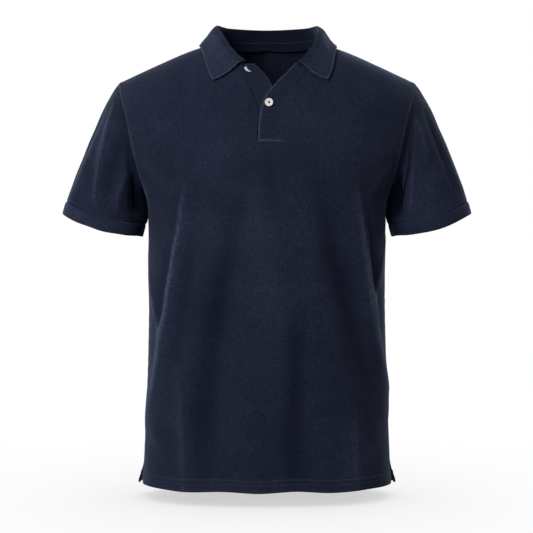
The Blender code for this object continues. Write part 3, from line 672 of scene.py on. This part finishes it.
def sleeve_grid(hand):
    start, leaving = armhole_ring(hand)
    start = start - leaving * ARMHOLE_TUCK
    end = cuff_ring(hand, np.full(len(RING), SLEEVE_TUCK), 0.0003)
    under = np.maximum(-np.cos(RING), 0.0) ** 4
    spread = np.array((hand, 0.0, 0.0)) * (UNDERARM_SPREAD * under)[:, None]
    leave = unit(leaving + spread) * SLEEVE_LEAVE
    arrive = down_arm(hand) * (SLEEVE_ARRIVE * np.linalg.norm(end - start, axis=-1))[:, None]
    t = np.linspace(0, 1, SLEEVE_ROWS + 1)
    v = (0.55 * t ** 1.5 + 0.45 * (0.5 - 0.5 * np.cos(pi * t)))[:, None, None]
    base = start * ((1 + 2 * v) * (1 - v) ** 2) + end * ((3 - 2 * v) * v ** 2)
    base = base + leave * (v * (1 - v) ** 2) + arrive * (v ** 2 * (v - 1))
    normal = grid_normals(base, loop=True, flip=hand > 0)
    down = lengthwise(base, 0)
    left = down[-1:] - SLEEVE_TUCK - down
    share = v[..., 0] + 0.0 * down
    turn = np.degrees(RING)[None, :] + 0.0 * down
    folded, painted_crest_highlights = fold_sum(SLEEVE_FOLDS[hand], turn, -share, 360.0)
    across = np.cos(np.radians(turn)) * SLEEVE_SIZE[0]
    deep = np.sin(np.radians(turn)) * SLEEVE_SIZE[1]
    ripple = wobble(across, down + deep, 0.050, 50 + hand)
    fade = ease(down, 0.026) * ease(left, 0.030)
    lift = (folded + SLEEVE_WAVE * ripple) * fade
    inward = bell(np.abs(turn), 180.0, 40.0)
    lift = lift + UNDERARM_REST * inward * np.sin(pi * np.clip(share / 0.95, 0, 1)) ** 0.7
    gather = wobble(across, deep, 0.016, 60 + hand)
    lift = lift + CUFF_GATHER * gather * np.exp(-left / 0.012) * ease(left, 0.004)
    lift = lift - ARMHOLE_GROOVE * bell(down, 0.0, 0.0022) - CUFF_GROOVE * bell(left, 0.0, 0.0022)
    lift = lift - SLEEVE_HOLLOW * bell(np.abs(turn), 105.0, 46.0) * bell(down, 0.016, 0.011)
    points = base + normal * lift[..., None]
    # painted shade on the underarm side next to the body
    painted_underarm_shade = 1.15 * bell(turn, 166.0, 26.0) * (turn > 0)
    # painted shade and highlight from the relief; the left sleeve is painted a little lighter than
    # the right
    wear_and_painted_light = np.clip(0.33 + 0.06 * hand + lift / 0.015, DEEPEST_PAINTED_SHADE, PAINTED_RELIEF_PALEST)
    # painted highlights on crests, and painted shade along the armhole seam
    wear_and_painted_light = wear_and_painted_light + 1.3 * painted_crest_highlights * fade - 0.35 * bell(down, 0.0, 0.010)
    wear_and_painted_light = np.clip(wear_and_painted_light - painted_underarm_shade * ease(share - 0.05, 0.35), DEEPEST_PAINTED_SHADE, WEAR_AND_HIGHLIGHT_PALEST)
    return points, normal, down, wear_and_painted_light


# along the arm, lift: the doubled band from its seam round the fold and up inside
BAND_ROWS = (
    (0.0000, -0.0003),
    (0.0006, 0.0002),
    (0.0020, 0.0006),
    (0.0050, 0.0008),
    (0.0090, 0.0008),
    (0.0130, 0.0008),
    (0.0165, 0.0007),
    (0.0188, 0.0005),
    (0.0199, 0.0000),
    (0.0202, -0.0009),
    (0.0198, -0.0017),
    (0.0180, -0.0021),
    (0.0120, -0.0021),
    (0.0040, -0.0021),
)


def band_grid(hand):
    rows = []
    wave = wobble(np.cos(RING) * SLEEVE_SIZE[0], np.sin(RING) * SLEEVE_SIZE[1], 0.060, 70 + hand)
    for along, lift in BAND_ROWS:
        roll = BAND_ROLL * wave * along / CUFF_BAND
        rows.append(cuff_ring(hand, along + roll, CUFF_STEP + lift + roll))
    return np.array(rows)


# ---------------- plackets

# distances in from an edge of a strip, and the share of its drop at each
FREE_EDGE = ((0.0, 0.0002, 0.0007, 0.0014, 0.0022, 0.0030), (1.0, 0.55, 0.15, 0.0, -0.06, 0.0))
SEWN_EDGE = ((0.0, 0.0006, 0.0015, 0.0028, 0.0046, 0.0070), (1.0, 0.98, 0.80, 0.50, 0.20, 0.0))
PLACKET_MIDDLE = 12


def strip_grid(foot, edges, lift, low_side, high_side, drop, foot_drop, count):
    """Placket strip between two edges, each with its own rounding, from its foot to the neckline."""
    heights = np.concatenate([foot + np.array([0.0, 0.0003, 0.0009, 0.0018]),
                              np.linspace(foot + 0.003, NECK_FRONT, count)])
    foot_fall = foot_drop * np.concatenate([[1.0, 0.55, 0.12, -0.05], np.zeros(count)])
    low, high = edges(heights)
    reach_low, reach_high = low_side[0][-1], high_side[0][-1]
    middle = np.linspace(0, 1, PLACKET_MIDDLE)[1:-1]
    span = (high - low)[:, None] - reach_low - reach_high
    xs = np.concatenate([low[:, None] + np.array(low_side[0]),
                         low[:, None] + reach_low + span * middle,
                         high[:, None] - np.array(high_side[0])[::-1]], axis=1)
    drops = drop * np.concatenate([low_side[1], np.zeros(len(middle)), high_side[1][::-1]])
    z = heights[:, None] + 0.0 * xs
    level = level_at(xs, z)
    normal = form_normal(-1, xs, level)
    wave = 0.0005 * wobble(xs, z, 0.026, 80) * ease(xs - low[:, None], 0.004)
    fall = np.maximum(drops[None, :], foot_fall[:, None])
    points = bare(-1, xs, level) + normal * (lift - fall + wave)[..., None]
    points[..., 1] -= SEAM_GAP / 2
    return points


def under_placket_grid():
    def edges(height):
        return read(FRONT_OPENING, height, 1) + SEAM_GAP, read(PLACKET_FREE_EDGES, height, 1)
    foot = SLOT_FOOT + SEAM_GAP
    return strip_grid(foot, edges, -0.0001, SEWN_EDGE, FREE_EDGE,
                      drop=0.0004, foot_drop=0.0, count=44)


def over_placket_grid():
    def edges(height):
        sewn = read(FRONT_OPENING, height, 2) + OVER_PLACKET_LAP
        return read(PLACKET_FREE_EDGES, height, 2), sewn
    foot = SLOT_FOOT - OVER_PLACKET_LAP
    return strip_grid(foot, edges, LAYER_LIFT, FREE_EDGE, SEWN_EDGE,
                      drop=0.0015, foot_drop=0.0013, count=48)


# ---------------- collar

def panel_face(side, x, level, lift=0.0):
    points = bare(side, x, level) + form_normal(side, x, level) * lift
    points[..., 1] += side * SEAM_GAP / 2
    return points


def front_face(xs, heights, lift=0.0):
    return panel_face(-1, xs, level_at(xs, heights), lift)


def neck_seam():
    """The line that the collar is sewn to, from one front edge round the back to the other."""
    under_free, over_free = PLACKET_FREE_EDGES[-1][1:]
    right = float(read(FRONT_OPENING, NECK_FRONT, 1))
    left = float(read(FRONT_OPENING, NECK_FRONT, 2))
    top = FRONT_OPENING[-1][0]
    low = float(level_at(0.0, BACK_NECK_HEIGHT))
    rise, fall = np.linspace(NECK_FRONT, top, 24)[1:], np.linspace(top, NECK_FRONT, 24)[:-1]
    turn = np.linspace(-pi / 2, pi / 2, 50)[1:-1]
    first = np.linspace((under_free + right) / 2, right, 8)
    last = np.linspace(left + OVER_PLACKET_LAP, over_free + 0.005, 8)
    return np.concatenate([
        front_face(first, NECK_FRONT),
        front_face(read(FRONT_OPENING, rise, 1), rise),
        panel_face(1, NECK_SIDE * np.sin(turn), 2.0 - (2.0 - low) * np.cos(turn)),
        front_face(read(FRONT_OPENING, fall, 2), fall),
        front_face(last, NECK_FRONT, LAYER_LIFT)])


def clear_of_shoulders(points, clearance):
    """Points moved out where they are nearer to the panels than the clearance."""
    x, y, z = points[..., 0], points[..., 1], points[..., 2]
    rise = ridge_rise(x)
    width, front = section(-1, CHEST_TOP)
    back = section(1, CHEST_TOP)[1]
    share = np.minimum(np.abs(x) / width, 1)
    depth = np.where(y < 0, front, back) * (1 - share ** SQUARENESS) ** (1 / SQUARENESS)
    height = z - CHEST_TOP
    radius = np.sqrt((y / depth) ** 2 + (height / rise) ** 2)
    outward = unit(np.stack([0 * x, y / depth ** 2, height / rise ** 2], axis=-1))
    surface = np.stack([x, y / radius, CHEST_TOP + height / radius], axis=-1)
    distance = np.sum((points - surface) * outward, axis=-1)
    return points + outward * np.maximum(clearance - distance, 0.0)[..., None]


def smooth_line(controls, places):
    """A smooth curve through control points, read at places given as control numbers."""
    steps = np.sqrt(np.linalg.norm(np.diff(controls, axis=0), axis=-1))
    keys = np.concatenate([[0], np.cumsum(steps)])
    key = np.interp(places, np.arange(len(controls)), keys)
    lines = [read(np.stack([keys, controls[:, i]], axis=-1), key, 1) for i in range(3)]
    return np.stack(lines, axis=-1)


def collar_grid():
    seam = neck_seam()
    run = lengthwise(seam[None], 1)[0]
    ends = np.array([0.0, 0.0015, 0.0035, 0.0060, 0.0090, 0.0125])
    shares = np.concatenate([ends, np.linspace(0.0165, 0.9835, 150), 1.0 - ends[::-1]])
    places = np.concatenate([np.linspace(0, 2, 10)[:-1], np.linspace(2, 4, 15)[:-1],
                             np.linspace(4, 6.8, 22)[:-1], np.linspace(6.8, 7, 9)])
    rows = []
    for share in shares:
        values = [float(read(COLLAR_SECTIONS, share, i)) for i in range(1, 8)]
        neck = along_line(share * run[-1], run, seam)
        fold = clear_of_shoulders(np.array(values[0:3]), FOLD_CLEARANCE)
        edge = np.array(values[3:6])
        foot = neck + UP * COLLAR_SEAM_RISE
        outward = unit((edge - foot) * np.array((1.0, 1.0, 0.0)))
        shoulder_in = fold + (foot - fold) * 0.16 - outward * COLLAR_ROUND * 0.4
        shoulder_out = fold + (edge - fold) * 0.12 + outward * COLLAR_ROUND
        shoulder_out = clear_of_shoulders(shoulder_out, FOLD_CLEARANCE)
        controls = [foot, foot + (shoulder_in - foot) * 0.55, shoulder_in, fold, shoulder_out]
        for f in (0.33, 0.66, 1.0):
            place = shoulder_out + (edge - shoulder_out) * f
            place[2] -= values[6] * 4 * f * (1 - f)
            controls.append(clear_of_shoulders(place, COLLAR_CLEARANCE))
        tuck = -outward * STAND_TUCK[0] - UP * STAND_TUCK[1]
        inner = foot + tuck * np.array([1.0, 0.66, 0.33])[:, None]
        rows.append(np.concatenate([inner, smooth_line(np.array(controls), places)]))
    places = np.concatenate([np.zeros(len(inner)), places])
    base = np.array(rows)
    normal = grid_normals(base)
    normal = normal if normal[75, 30, 2] + normal[75, 30, 1] > 0 else -normal
    down = lengthwise(base, 1)
    to_edge = down[:, -1:] - down
    along = lengthwise(base, 0)
    to_end = np.minimum(along, along[-1:] - along)
    fall = ease(places[None, :] - 3.4, 1.2)
    rim = np.minimum(to_edge, np.where(places[None, :] > 3.6, to_end, 1.0))
    lift = COLLAR_WAVE * wobble(along, down, 0.060, 90) * fall * ease(rim, 0.008)
    lift = lift + COLLAR_RIM * bell(rim, 0.0012, 0.0011) * fall
    lift = lift - COLLAR_RIM * bell(rim, 0.0030, 0.0007) * fall
    lift = lift + COLLAR_RIPPLE * wobble(along, down, 0.014, 91) * fall
    points = base + normal * lift[..., None]
    # the stand inside the neck is darker as painted shade; the fall and its edges are worn paler
    wear_and_painted_light = 0.95 * fall - 0.38 + 1.6 * bell(rim, 0.0, 0.0024) * fall
    wear_and_painted_light = wear_and_painted_light + 0.6 * bell(places[None, :], 3.3, 0.6)
    return points, normal, wear_and_painted_light, np.stack([along, down], axis=-1)


# ---------------- meshes

WELD = 0.00001


def finish_piece(obj, node):
    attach(obj, "root")
    if node:
        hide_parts(node)
    return obj


def add_object(name, data, material=None):
    """New object in the scene, smooth and with its material if it is a mesh."""
    if material:
        data.materials.append(material)
        data.shade_smooth()
    obj = bpy.data.objects.new(name, data)
    bpy.context.scene.collection.objects.link(obj)
    return obj


def cloth(name, grid, uv, wear_and_painted_light, material, node, flip=False, loop=False, mask=None, wall=WALL):
    """Sheet of cloth through a grid of points, with its wall inwards."""
    rows, columns = grid.shape[:2]
    across = columns if loop else columns - 1
    r, c = np.meshgrid(np.arange(rows - 1), np.arange(across), indexing="ij")
    n = (c + 1) % columns
    low, high = r * columns, (r + 1) * columns
    quads = np.stack([low + c, low + n, high + n, high + c], axis=-1)
    corners = np.stack([uv[r, c], uv[r, c + 1], uv[r + 1, c + 1], uv[r + 1, c]], axis=2)
    if mask is not None:
        quads, corners = quads[mask], corners[mask]
    quads, corners = quads.reshape(-1, 4), corners.reshape(-1, 4, 2)
    if flip:
        quads, corners = quads[:, ::-1], corners[:, ::-1]
    used = np.unique(quads)
    lookup = np.zeros(rows * columns, int)
    lookup[used] = np.arange(len(used))
    mesh = bpy.data.meshes.new(name)
    mesh.from_pydata(grid.reshape(-1, 3)[used].tolist(), [], lookup[quads].tolist())
    layer = mesh.uv_layers.new(name="UVMap")
    layer.data.foreach_set("uv", corners.reshape(-1).astype(np.float32))
    # per-point paleness: real wear, with painted highlights on crests and painted shade in folds and
    # troughs
    worn_and_painted_light = mesh.attributes.new("wear_and_painted_light", "FLOAT", "POINT")
    worn_and_painted_light.data.foreach_set("value", wear_and_painted_light.reshape(-1)[used].astype(np.float32))
    work = bmesh.new()
    work.from_mesh(mesh)
    bmesh.ops.remove_doubles(work, verts=work.verts, dist=WELD)
    work.to_mesh(mesh)
    work.free()
    obj = add_object(name, mesh, material)
    thick = obj.modifiers.new("wall", "SOLIDIFY")
    thick.thickness = wall
    thick.offset = -1.0
    return finish_piece(obj, node)


THREAD_RADIUS = 0.00028
FINE_THREAD_RADIUS = 0.00018
THREAD_SIDES = 6
STITCH = 0.0026
STITCH_GAP = 0.0007
# share of a stitch's length, height and thickness in thread radii at each of its rings
STITCH_RINGS = ((0.0, -0.8, 0.6), (0.25, 0.7, 1.0), (0.75, 0.7, 1.0), (1.0, -0.8, 0.6))


def stitches(name, lines, material, radius=THREAD_RADIUS, stitch=STITCH, gap=STITCH_GAP):
    """Rows of short thread stitches along lines of points with normals, in one mesh."""
    verts, faces = [], []
    shares, heights, sizes = np.array(STITCH_RINGS).T
    turns = 2 * pi * np.arange(THREAD_SIDES) / THREAD_SIDES
    sides = np.arange(THREAD_SIDES)
    for points, normals in lines:
        run = lengthwise(np.asarray(points)[None], 1)[0]
        for i in range(int((run[-1] - gap) / (stitch + gap))):
            at = gap + i * (stitch + gap) + stitch * shares
            place = along_line(at, run, points)
            normal = unit(along_line(at, run, normals))
            beside = unit(np.cross(unit(place[-1] - place[0]), normal))
            place = place + normal * (radius * heights)[:, None]
            base = len(verts)
            for k, size in enumerate(radius * sizes):
                around = beside[k] * np.cos(turns)[:, None] + normal[k] * np.sin(turns)[:, None]
                verts.extend(place[k] + around * size)
                if k:
                    low, after = base + THREAD_SIDES * (k - 1), (sides + 1) % THREAD_SIDES
                    faces.extend(np.stack([low + sides, low + after, low + THREAD_SIDES + after,
                                           low + THREAD_SIDES + sides], axis=-1).tolist())
            faces.append((base + sides[::-1]).tolist())
            faces.append((len(verts) - THREAD_SIDES + sides).tolist())
    mesh = bpy.data.meshes.new(name)
    mesh.from_pydata([tuple(v) for v in verts], [], faces)
    return finish_piece(add_object(name, mesh, material), None)


def inset_line(points, normals, distance, rows, column_range):
    """Line at a distance from the first column of a range, over some rows of a grid."""
    part = points[rows][:, column_range]
    facing = normals[rows][:, column_range]
    run = lengthwise(part, 1)
    return tuple(np.array([along_line(distance, *row) for row in zip(run, grid)])
                 for grid in (part, facing))


# ---------------- materials

def node(tree, kind, **sockets):
    made = tree.nodes.new(kind)
    for key, value in sockets.items():
        made.inputs[key.replace("_", " ")].default_value = value
    return made


def noise(tree, place, output, scale, detail, roughness=0.5):
    made = node(tree, "ShaderNodeTexNoise", Scale=scale, Detail=detail, Roughness=roughness)
    tree.links.new(place.outputs[output], made.inputs["Vector"])
    return made.outputs["Fac"]


def spread(tree, source, low, high, to_low, to_high):
    """A value's range from low to high, turned into one from to_low to to_high."""
    made = node(tree, "ShaderNodeMapRange", From_Min=low, From_Max=high,
                To_Min=to_low, To_Max=to_high)
    tree.links.new(source, made.inputs["Value"])
    return made.outputs["Result"]


def reckon(tree, operation, *values, clamp=False):
    made = tree.nodes.new("ShaderNodeMath")
    made.operation = operation
    made.use_clamp = clamp
    for socket, value in zip(made.inputs, values):
        if isinstance(value, float):
            socket.default_value = value
        else:
            tree.links.new(value, socket)
    return made.outputs["Value"]


def blend(tree, share, first, second):
    made = tree.nodes.new("ShaderNodeMix")
    made.data_type = "RGBA"
    made.inputs["A"].default_value = (*first, 1.0)
    made.inputs["B"].default_value = (*second, 1.0)
    tree.links.new(share, made.inputs["Factor"])
    return next(output for output in made.outputs if output.type == "RGBA")


def bump(tree, height, strength, distance, under=None):
    made = node(tree, "ShaderNodeBump", Strength=strength, Distance=distance)
    tree.links.new(height, made.inputs["Height"])
    if under:
        tree.links.new(under.outputs["Normal"], made.inputs["Normal"])
    return made


def new_material(name, roughness, specular):
    material = bpy.data.materials.new(name)
    material.use_nodes = True
    tree = material.node_tree
    shader = tree.nodes["Principled BSDF"]
    shader.inputs["Roughness"].default_value = roughness
    shader.inputs["Specular IOR Level"].default_value = specular
    return material, tree, shader


# a value of the wave texture's scale that gives one wave per unit
WAVE_UNIT = 0.31416


def knit_material(name, colour, worn_and_painted_light, rib, pitch):
    """Cotton knit: cells of the stitch as bump, mottled washed colour, paler wear, painted highlights
    on crests, painted shade in folds, and sheen.
    """
    material, tree, shader = new_material(name, 0.92, 0.04)
    shader.inputs["Specular Tint"].default_value = (0.45, 0.60, 1.0, 1.0)
    shader.inputs["Sheen Weight"].default_value = 0.045
    shader.inputs["Sheen Roughness"].default_value = 0.35
    shader.inputs["Sheen Tint"].default_value = (0.55, 0.66, 1.0, 1.0)
    place = tree.nodes.new("ShaderNodeTexCoord")
    if rib:
        cells = node(tree, "ShaderNodeTexWave", Scale=WAVE_UNIT / pitch, Distortion=0.15, Detail=1.0)
        cells.bands_direction = "X"
        height = cells.outputs["Fac"]
    else:
        cells = node(tree, "ShaderNodeTexVoronoi", Scale=1.0 / pitch, Randomness=0.22)
        cells.voronoi_dimensions = "2D"
        height = cells.outputs["Distance"]
    tree.links.new(place.outputs["UV"], cells.inputs["Vector"])
    stitch = bump(tree, height, 0.55, 0.0005)
    stitch.invert = not rib
    fuzz = bump(tree, noise(tree, place, "UV", 2600.0, 3.0, 0.6), 0.35, 0.0002, stitch)
    tree.links.new(fuzz.outputs["Normal"], shader.inputs["Normal"])
    wear_and_painted_light = tree.nodes.new("ShaderNodeAttribute")
    wear_and_painted_light.attribute_name = "wear_and_painted_light"
    wear_and_painted_light = wear_and_painted_light.outputs["Fac"]
    grain = noise(tree, place, "Object", 330.0, 4.0, 0.7)
    mottle = spread(tree, noise(tree, place, "Object", 11.0, 6.0, 0.62), 0.35, 0.75, 0.0, 0.055)
    # paler with wear and mottling, and with the painted highlights carried in the attribute
    pale = reckon(tree, "MULTIPLY_ADD", wear_and_painted_light, 0.106, mottle)
    pale = reckon(tree, "MULTIPLY", pale, spread(tree, grain, 0.30, 0.72, 0.55, 1.35), clamp=True)
    # painted shade: darker where the attribute falls below plain cloth
    depth = reckon(tree, "MULTIPLY", spread(tree, grain, 0.28, 0.74, 0.72, 1.30),
                   spread(tree, wear_and_painted_light, -0.7, 0.3, 0.30, 1.0))
    colour_with_painted_shade = tree.nodes.new("ShaderNodeVectorMath")
    colour_with_painted_shade.operation = "SCALE"
    tree.links.new(blend(tree, pale, colour, worn_and_painted_light), colour_with_painted_shade.inputs[0])
    tree.links.new(depth, colour_with_painted_shade.inputs["Scale"])
    tree.links.new(colour_with_painted_shade.outputs["Vector"], shader.inputs["Base Color"])
    return material


def plain_material(name, colour, roughness, specular):
    """Thread or button: a colour with slight cloudiness and a soft bump."""
    material, tree, shader = new_material(name, roughness, specular)
    cloud = noise(tree, tree.nodes.new("ShaderNodeTexCoord"), "Object", 420.0, 3.0)
    darker = [channel * 0.86 for channel in colour]
    tree.links.new(blend(tree, cloud, darker, colour), shader.inputs["Base Color"])
    tree.links.new(bump(tree, cloud, 0.15, 0.0001).outputs["Normal"], shader.inputs["Normal"])
    return material


knit = knit_material("pique_knit", (0.0017, 0.0022, 0.0051), (0.0340, 0.0405, 0.0665), False, 0.00135)
rib = knit_material("rib_knit", (0.0019, 0.0025, 0.0056), (0.0385, 0.0468, 0.0765), True, 0.0019)
thread = plain_material("navy_thread", (0.0135, 0.0172, 0.0340), 0.8, 0.05)
button_white = plain_material("button_white", (0.205, 0.20, 0.192), 0.34, 0.2)
button_thread = plain_material("button_thread", (0.012, 0.014, 0.022), 0.8, 0.05)

# ---------------- pieces

front, front_normal, front_wear_and_painted_light, front_mask = front_grid()
back, back_normal, back_wear_and_painted_light, back_mask = back_grid()
front_cloth = cloth("front_cloth", front, grid_uv(front, HALF_COLUMNS + MIDDLE_COLUMNS // 2),
                    front_wear_and_painted_light, knit, "front", mask=front_mask)
back_cloth = cloth("back_cloth", back, grid_uv(back, HALF_COLUMNS), back_wear_and_painted_light, knit,
                   "back", flip=True, mask=back_mask)

# round a band: paler on its outside, and painted shade on the part beside the body
BAND_SHINE = 0.40 * bell(np.degrees(RING), 0.0, 48.0)
BAND_SHADE = 1.1 * bell(np.degrees(RING), 172.0, 24.0)

sleeves = {}
for side_name, hand in SIDES:
    points, normal, down, wear_and_painted_light = sleeve_grid(hand)
    sleeves[hand] = (points, normal, down)
    piece = cloth("sleeve_" + side_name + "_cloth", points, ring_uv(points, SLEEVE_LOOP), wear_and_painted_light, knit,
                  "sleeve_" + side_name, flip=hand > 0, loop=True)
    band = band_grid(hand)
    # the left band is painted a little darker than the right, as painted shade
    band_wear_and_painted_light = 0.30 - 0.12 * hand + BAND_SHINE - BAND_SHADE + np.zeros(band.shape[:2])
    piece = cloth("cuff_" + side_name + "_band", band, ring_uv(band, BAND_LOOP), band_wear_and_painted_light, rib,
                  "cuff_" + side_name, flip=hand > 0, loop=True, wall=BAND_WALL)

# the strips are pale along the edges that get rubbed, and the over strip's sewn edge is painted paler
# against the shadow of its seam
under, over = under_placket_grid(), over_placket_grid()
under_wear = np.full(under.shape[:2], STRIP_WEAR)
under_wear[:, -6:] = (0.3, 0.4, 0.5, 0.6, 0.7, 0.7)
over_wear_and_painted_highlight = np.full(over.shape[:2], STRIP_WEAR)
over_wear_and_painted_highlight[:, :6] = (2.2, 2.2, 2.0, 1.5, 0.8, 0.35)
over_wear_and_painted_highlight[:5, :] = np.maximum(over_wear_and_painted_highlight[:5, :], 1.6)
# painted highlight along the sewn edge, against the seam's shadow
over_wear_and_painted_highlight[:, -5:] = np.maximum(over_wear_and_painted_highlight[:, -5:], (0.4, 0.5, 0.7, 0.8, 0.8))
for cad_node, grid, wear_and_painted_light in (("placket_under", under, under_wear), ("placket_over", over, over_wear_and_painted_highlight)):
    piece = cloth(cad_node + "_strip", grid, grid_uv(grid, 8), wear_and_painted_light, knit, cad_node,
                  wall=PLACKET_WALL)

collar, collar_normal, collar_wear_and_painted_shade, collar_uv = collar_grid()
collar_piece = cloth("collar_cloth", collar, collar_uv, collar_wear_and_painted_shade, rib, "collar",
                     flip=True, wall=COLLAR_WALL)

# ---------------- stitching

panels = ((front, front_normal), (back, back_normal))
panel_levels = panel_rows()[0]
hem_end = len(HEM_ROWS)
hem_lines = []
for grid, normals in panels:
    for place in HEM_STITCHES:
        row = hem_end + nearest(panel_levels[hem_end:], low_level(HEM + place))
        hem_lines.append((grid[row, 3:-3], normals[row, 3:-3]))
stitches("hem_stitches", hem_lines, thread)

over_normal = grid_normals(over)
placket_lines = [(over[6:-1, 5], over_normal[6:-1, 5])]
for place in PLACKET_FOOT_STITCHES:
    row = nearest(over[:, 10, 2], SLOT_FOOT - OVER_PLACKET_LAP + place)
    placket_lines.append((over[row, 5:-4], over_normal[row, 5:-4]))
placket_lines.append((over[4:row + 1, -5], over_normal[4:row + 1, -5]))
stitches("placket_stitches", placket_lines, thread)

above_underarm = np.where(panel_levels > float(level_at(0.0, UNDERARM)))[0][0] + 1
armhole_lines, vent_lines = [], []
for grid, normals in panels:
    inward = np.arange(len(grid[0]))
    rows = np.arange(above_underarm, len(grid))
    vent_rows = np.where(grid[hem_end:, 0, 2] < VENT_TOP + 0.003)[0] + hem_end
    for columns in (inward, inward[::-1]):
        armhole_lines.append(inset_line(grid, normals, ARMHOLE_STITCHES, rows, columns[:30]))
        vent_lines.append(inset_line(grid, normals, VENT_STITCHES, vent_rows, columns[:20]))
stitches("armhole_stitches", armhole_lines, thread, radius=FINE_THREAD_RADIUS)
stitches("vent_stitches", vent_lines, thread)

for side_name, hand in SIDES:
    points, normal, down = sleeves[hand]
    row = nearest(down[-1].mean() - down.mean(axis=1), SLEEVE_TUCK + CUFF_STITCHES)
    ring = np.r_[:SLEEVE_COLUMNS, 0]
    stitches("cuff_" + side_name + "_stitches", [(points[row, ring], normal[row, ring])],
             thread)

outward = grid_normals(collar)
outward = outward * (1.0 if np.sum(outward * collar_normal) > 0 else -1.0)
stand = (slice(30, -30), STAND_STITCH_ROW)
stitches("stand_stitches", [(collar[stand], outward[stand])], thread)

# ---------------- buttons

for holder in bpy.data.objects["button_lower"].material_slots:
    holder.material = button_white

# the unfastened top button hangs on its thread, turned away under the collar's edge
low_corner, high_corner = (Vector(corner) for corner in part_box("button_top"))
button_centre = (low_corner + high_corner) / 2
tilt = Matrix.Rotation(TOP_BUTTON_TILT, 4, Vector(TOP_BUTTON_AXIS))
hang = (Matrix.Translation(button_centre + Vector(TOP_BUTTON_SHIFT)) @ tilt
        @ Matrix.Translation(-button_centre))
tilted = bpy.data.objects["button_top"].data.copy()
tilted.name = "button_top_tilted"
tilted.transform(hang)
tilted.materials.clear()
tilted.materials.append(button_white)
finish_piece(add_object("button_top_tilted", tilted), "button_top")


def thread_cross(node_name, centre, turn):
    """Two crossed bars of thread over a button's four holes."""
    low, high = (Vector(corner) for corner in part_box(node_name))
    normal = Vector(form_normal(-1, centre[0], level_at(*centre)).tolist())
    flat = normal.to_track_quat("Z", "Y").to_matrix()
    face = (low + high) / 2 + normal * (BUTTON_THICKNESS / 2 - 0.0003)
    facing = np.array([(turn.to_3x3() @ normal).normalized()] * 2)
    lines = []
    for angle in (pi / 4, 3 * pi / 4):
        arm = flat @ Vector((cos(angle), sin(angle), 0.0)) * (HOLE_SPACING + 0.0006)
        lines.append((np.array([turn @ (face - arm), turn @ (face + arm)]), facing))
    stitches(node_name + "_thread", lines, button_thread,
             radius=BUTTON_THREAD_RADIUS, stitch=2 * HOLE_SPACING, gap=0.0004)


thread_cross("button_lower", BUTTON_LOWER_PLACE, Matrix.Identity(4))
thread_cross("button_top", BUTTON_TOP_PLACE, hang)

# ---------------- floor, light and camera

FLOOR_SIZE = 60.0
FLOOR_DROP = 0.022

floor_height = cad_box[0][2] - FLOOR_DROP
floor_mesh = bpy.data.meshes.new("floor")
floor_mesh.from_pydata([(x * FLOOR_SIZE, y * FLOOR_SIZE, floor_height)
                        for x, y in ((-1, -1), (1, -1), (1, 1), (-1, 1))], [], [(0, 1, 2, 3)])
floor = add_object("floor", floor_mesh)
paper, _, paper_shader = new_material("white_floor", 1.0, 0.0)
paper_shader.inputs["Base Color"].default_value = (0.43, 0.43, 0.43, 1.0)
paper_shader.inputs["Emission Color"].default_value = (1.0, 1.0, 1.0, 1.0)
paper_shader.inputs["Emission Strength"].default_value = 0.582
floor_mesh.materials.append(paper)
floor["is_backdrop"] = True

world = bpy.data.worlds.new("studio")
bpy.context.scene.world = world
world.use_nodes = True
backdrop = world.node_tree.nodes["Background"]
backdrop.inputs["Color"].default_value = (1.0, 1.0, 1.0, 1.0)
backdrop.inputs["Strength"].default_value = 1.0

# the lamps light the garment only, so that the floor stays evenly white
lit = bpy.data.collections.new("lit_pieces")
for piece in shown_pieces():
    lit.objects.link(piece)


RIM_BLUE = (0.62, 0.80, 1.0)


def area_light(name, place, size, watts, colour=(1.0, 1.0, 1.0)):
    """Round lamp that faces the middle of the garment."""
    lamp = bpy.data.lights.new(name, "AREA")
    lamp.shape = "DISK"
    lamp.size = size
    lamp.energy = watts
    lamp.color = colour
    obj = add_object(name, lamp)
    obj.location = place
    ahead = Vector((0.0, 0.0, (cad_box[0][2] + cad_box[1][2]) / 2)) - Vector(place)
    obj.rotation_euler = ahead.to_track_quat("-Z", "Y").to_euler()
    obj.light_linking.receiver_collection = lit
    obj.visible_camera = False


area_light("key", (-1.75, -2.95, 1.05), 1.4, 415.0)
area_light("top", (-0.3, -0.9, 2.6), 1.4, 22.0)
area_light("side_left", (1.7, 1.8, 0.4), 1.1, 62.0, RIM_BLUE)
area_light("side_right", (-1.7, 1.8, 0.4), 1.1, 62.0, RIM_BLUE)

camera_data = bpy.data.cameras.new("camera")
camera_data.lens = 104.2
camera_data.sensor_width = 36.0
camera = add_object("camera", camera_data)
camera.location = (-0.0008, -2.5, -0.354)
camera.rotation_euler = (pi / 2, 0.0, 0.0)
bpy.context.scene.camera = camera
bpy.context.scene.view_settings.view_transform = "Standard"
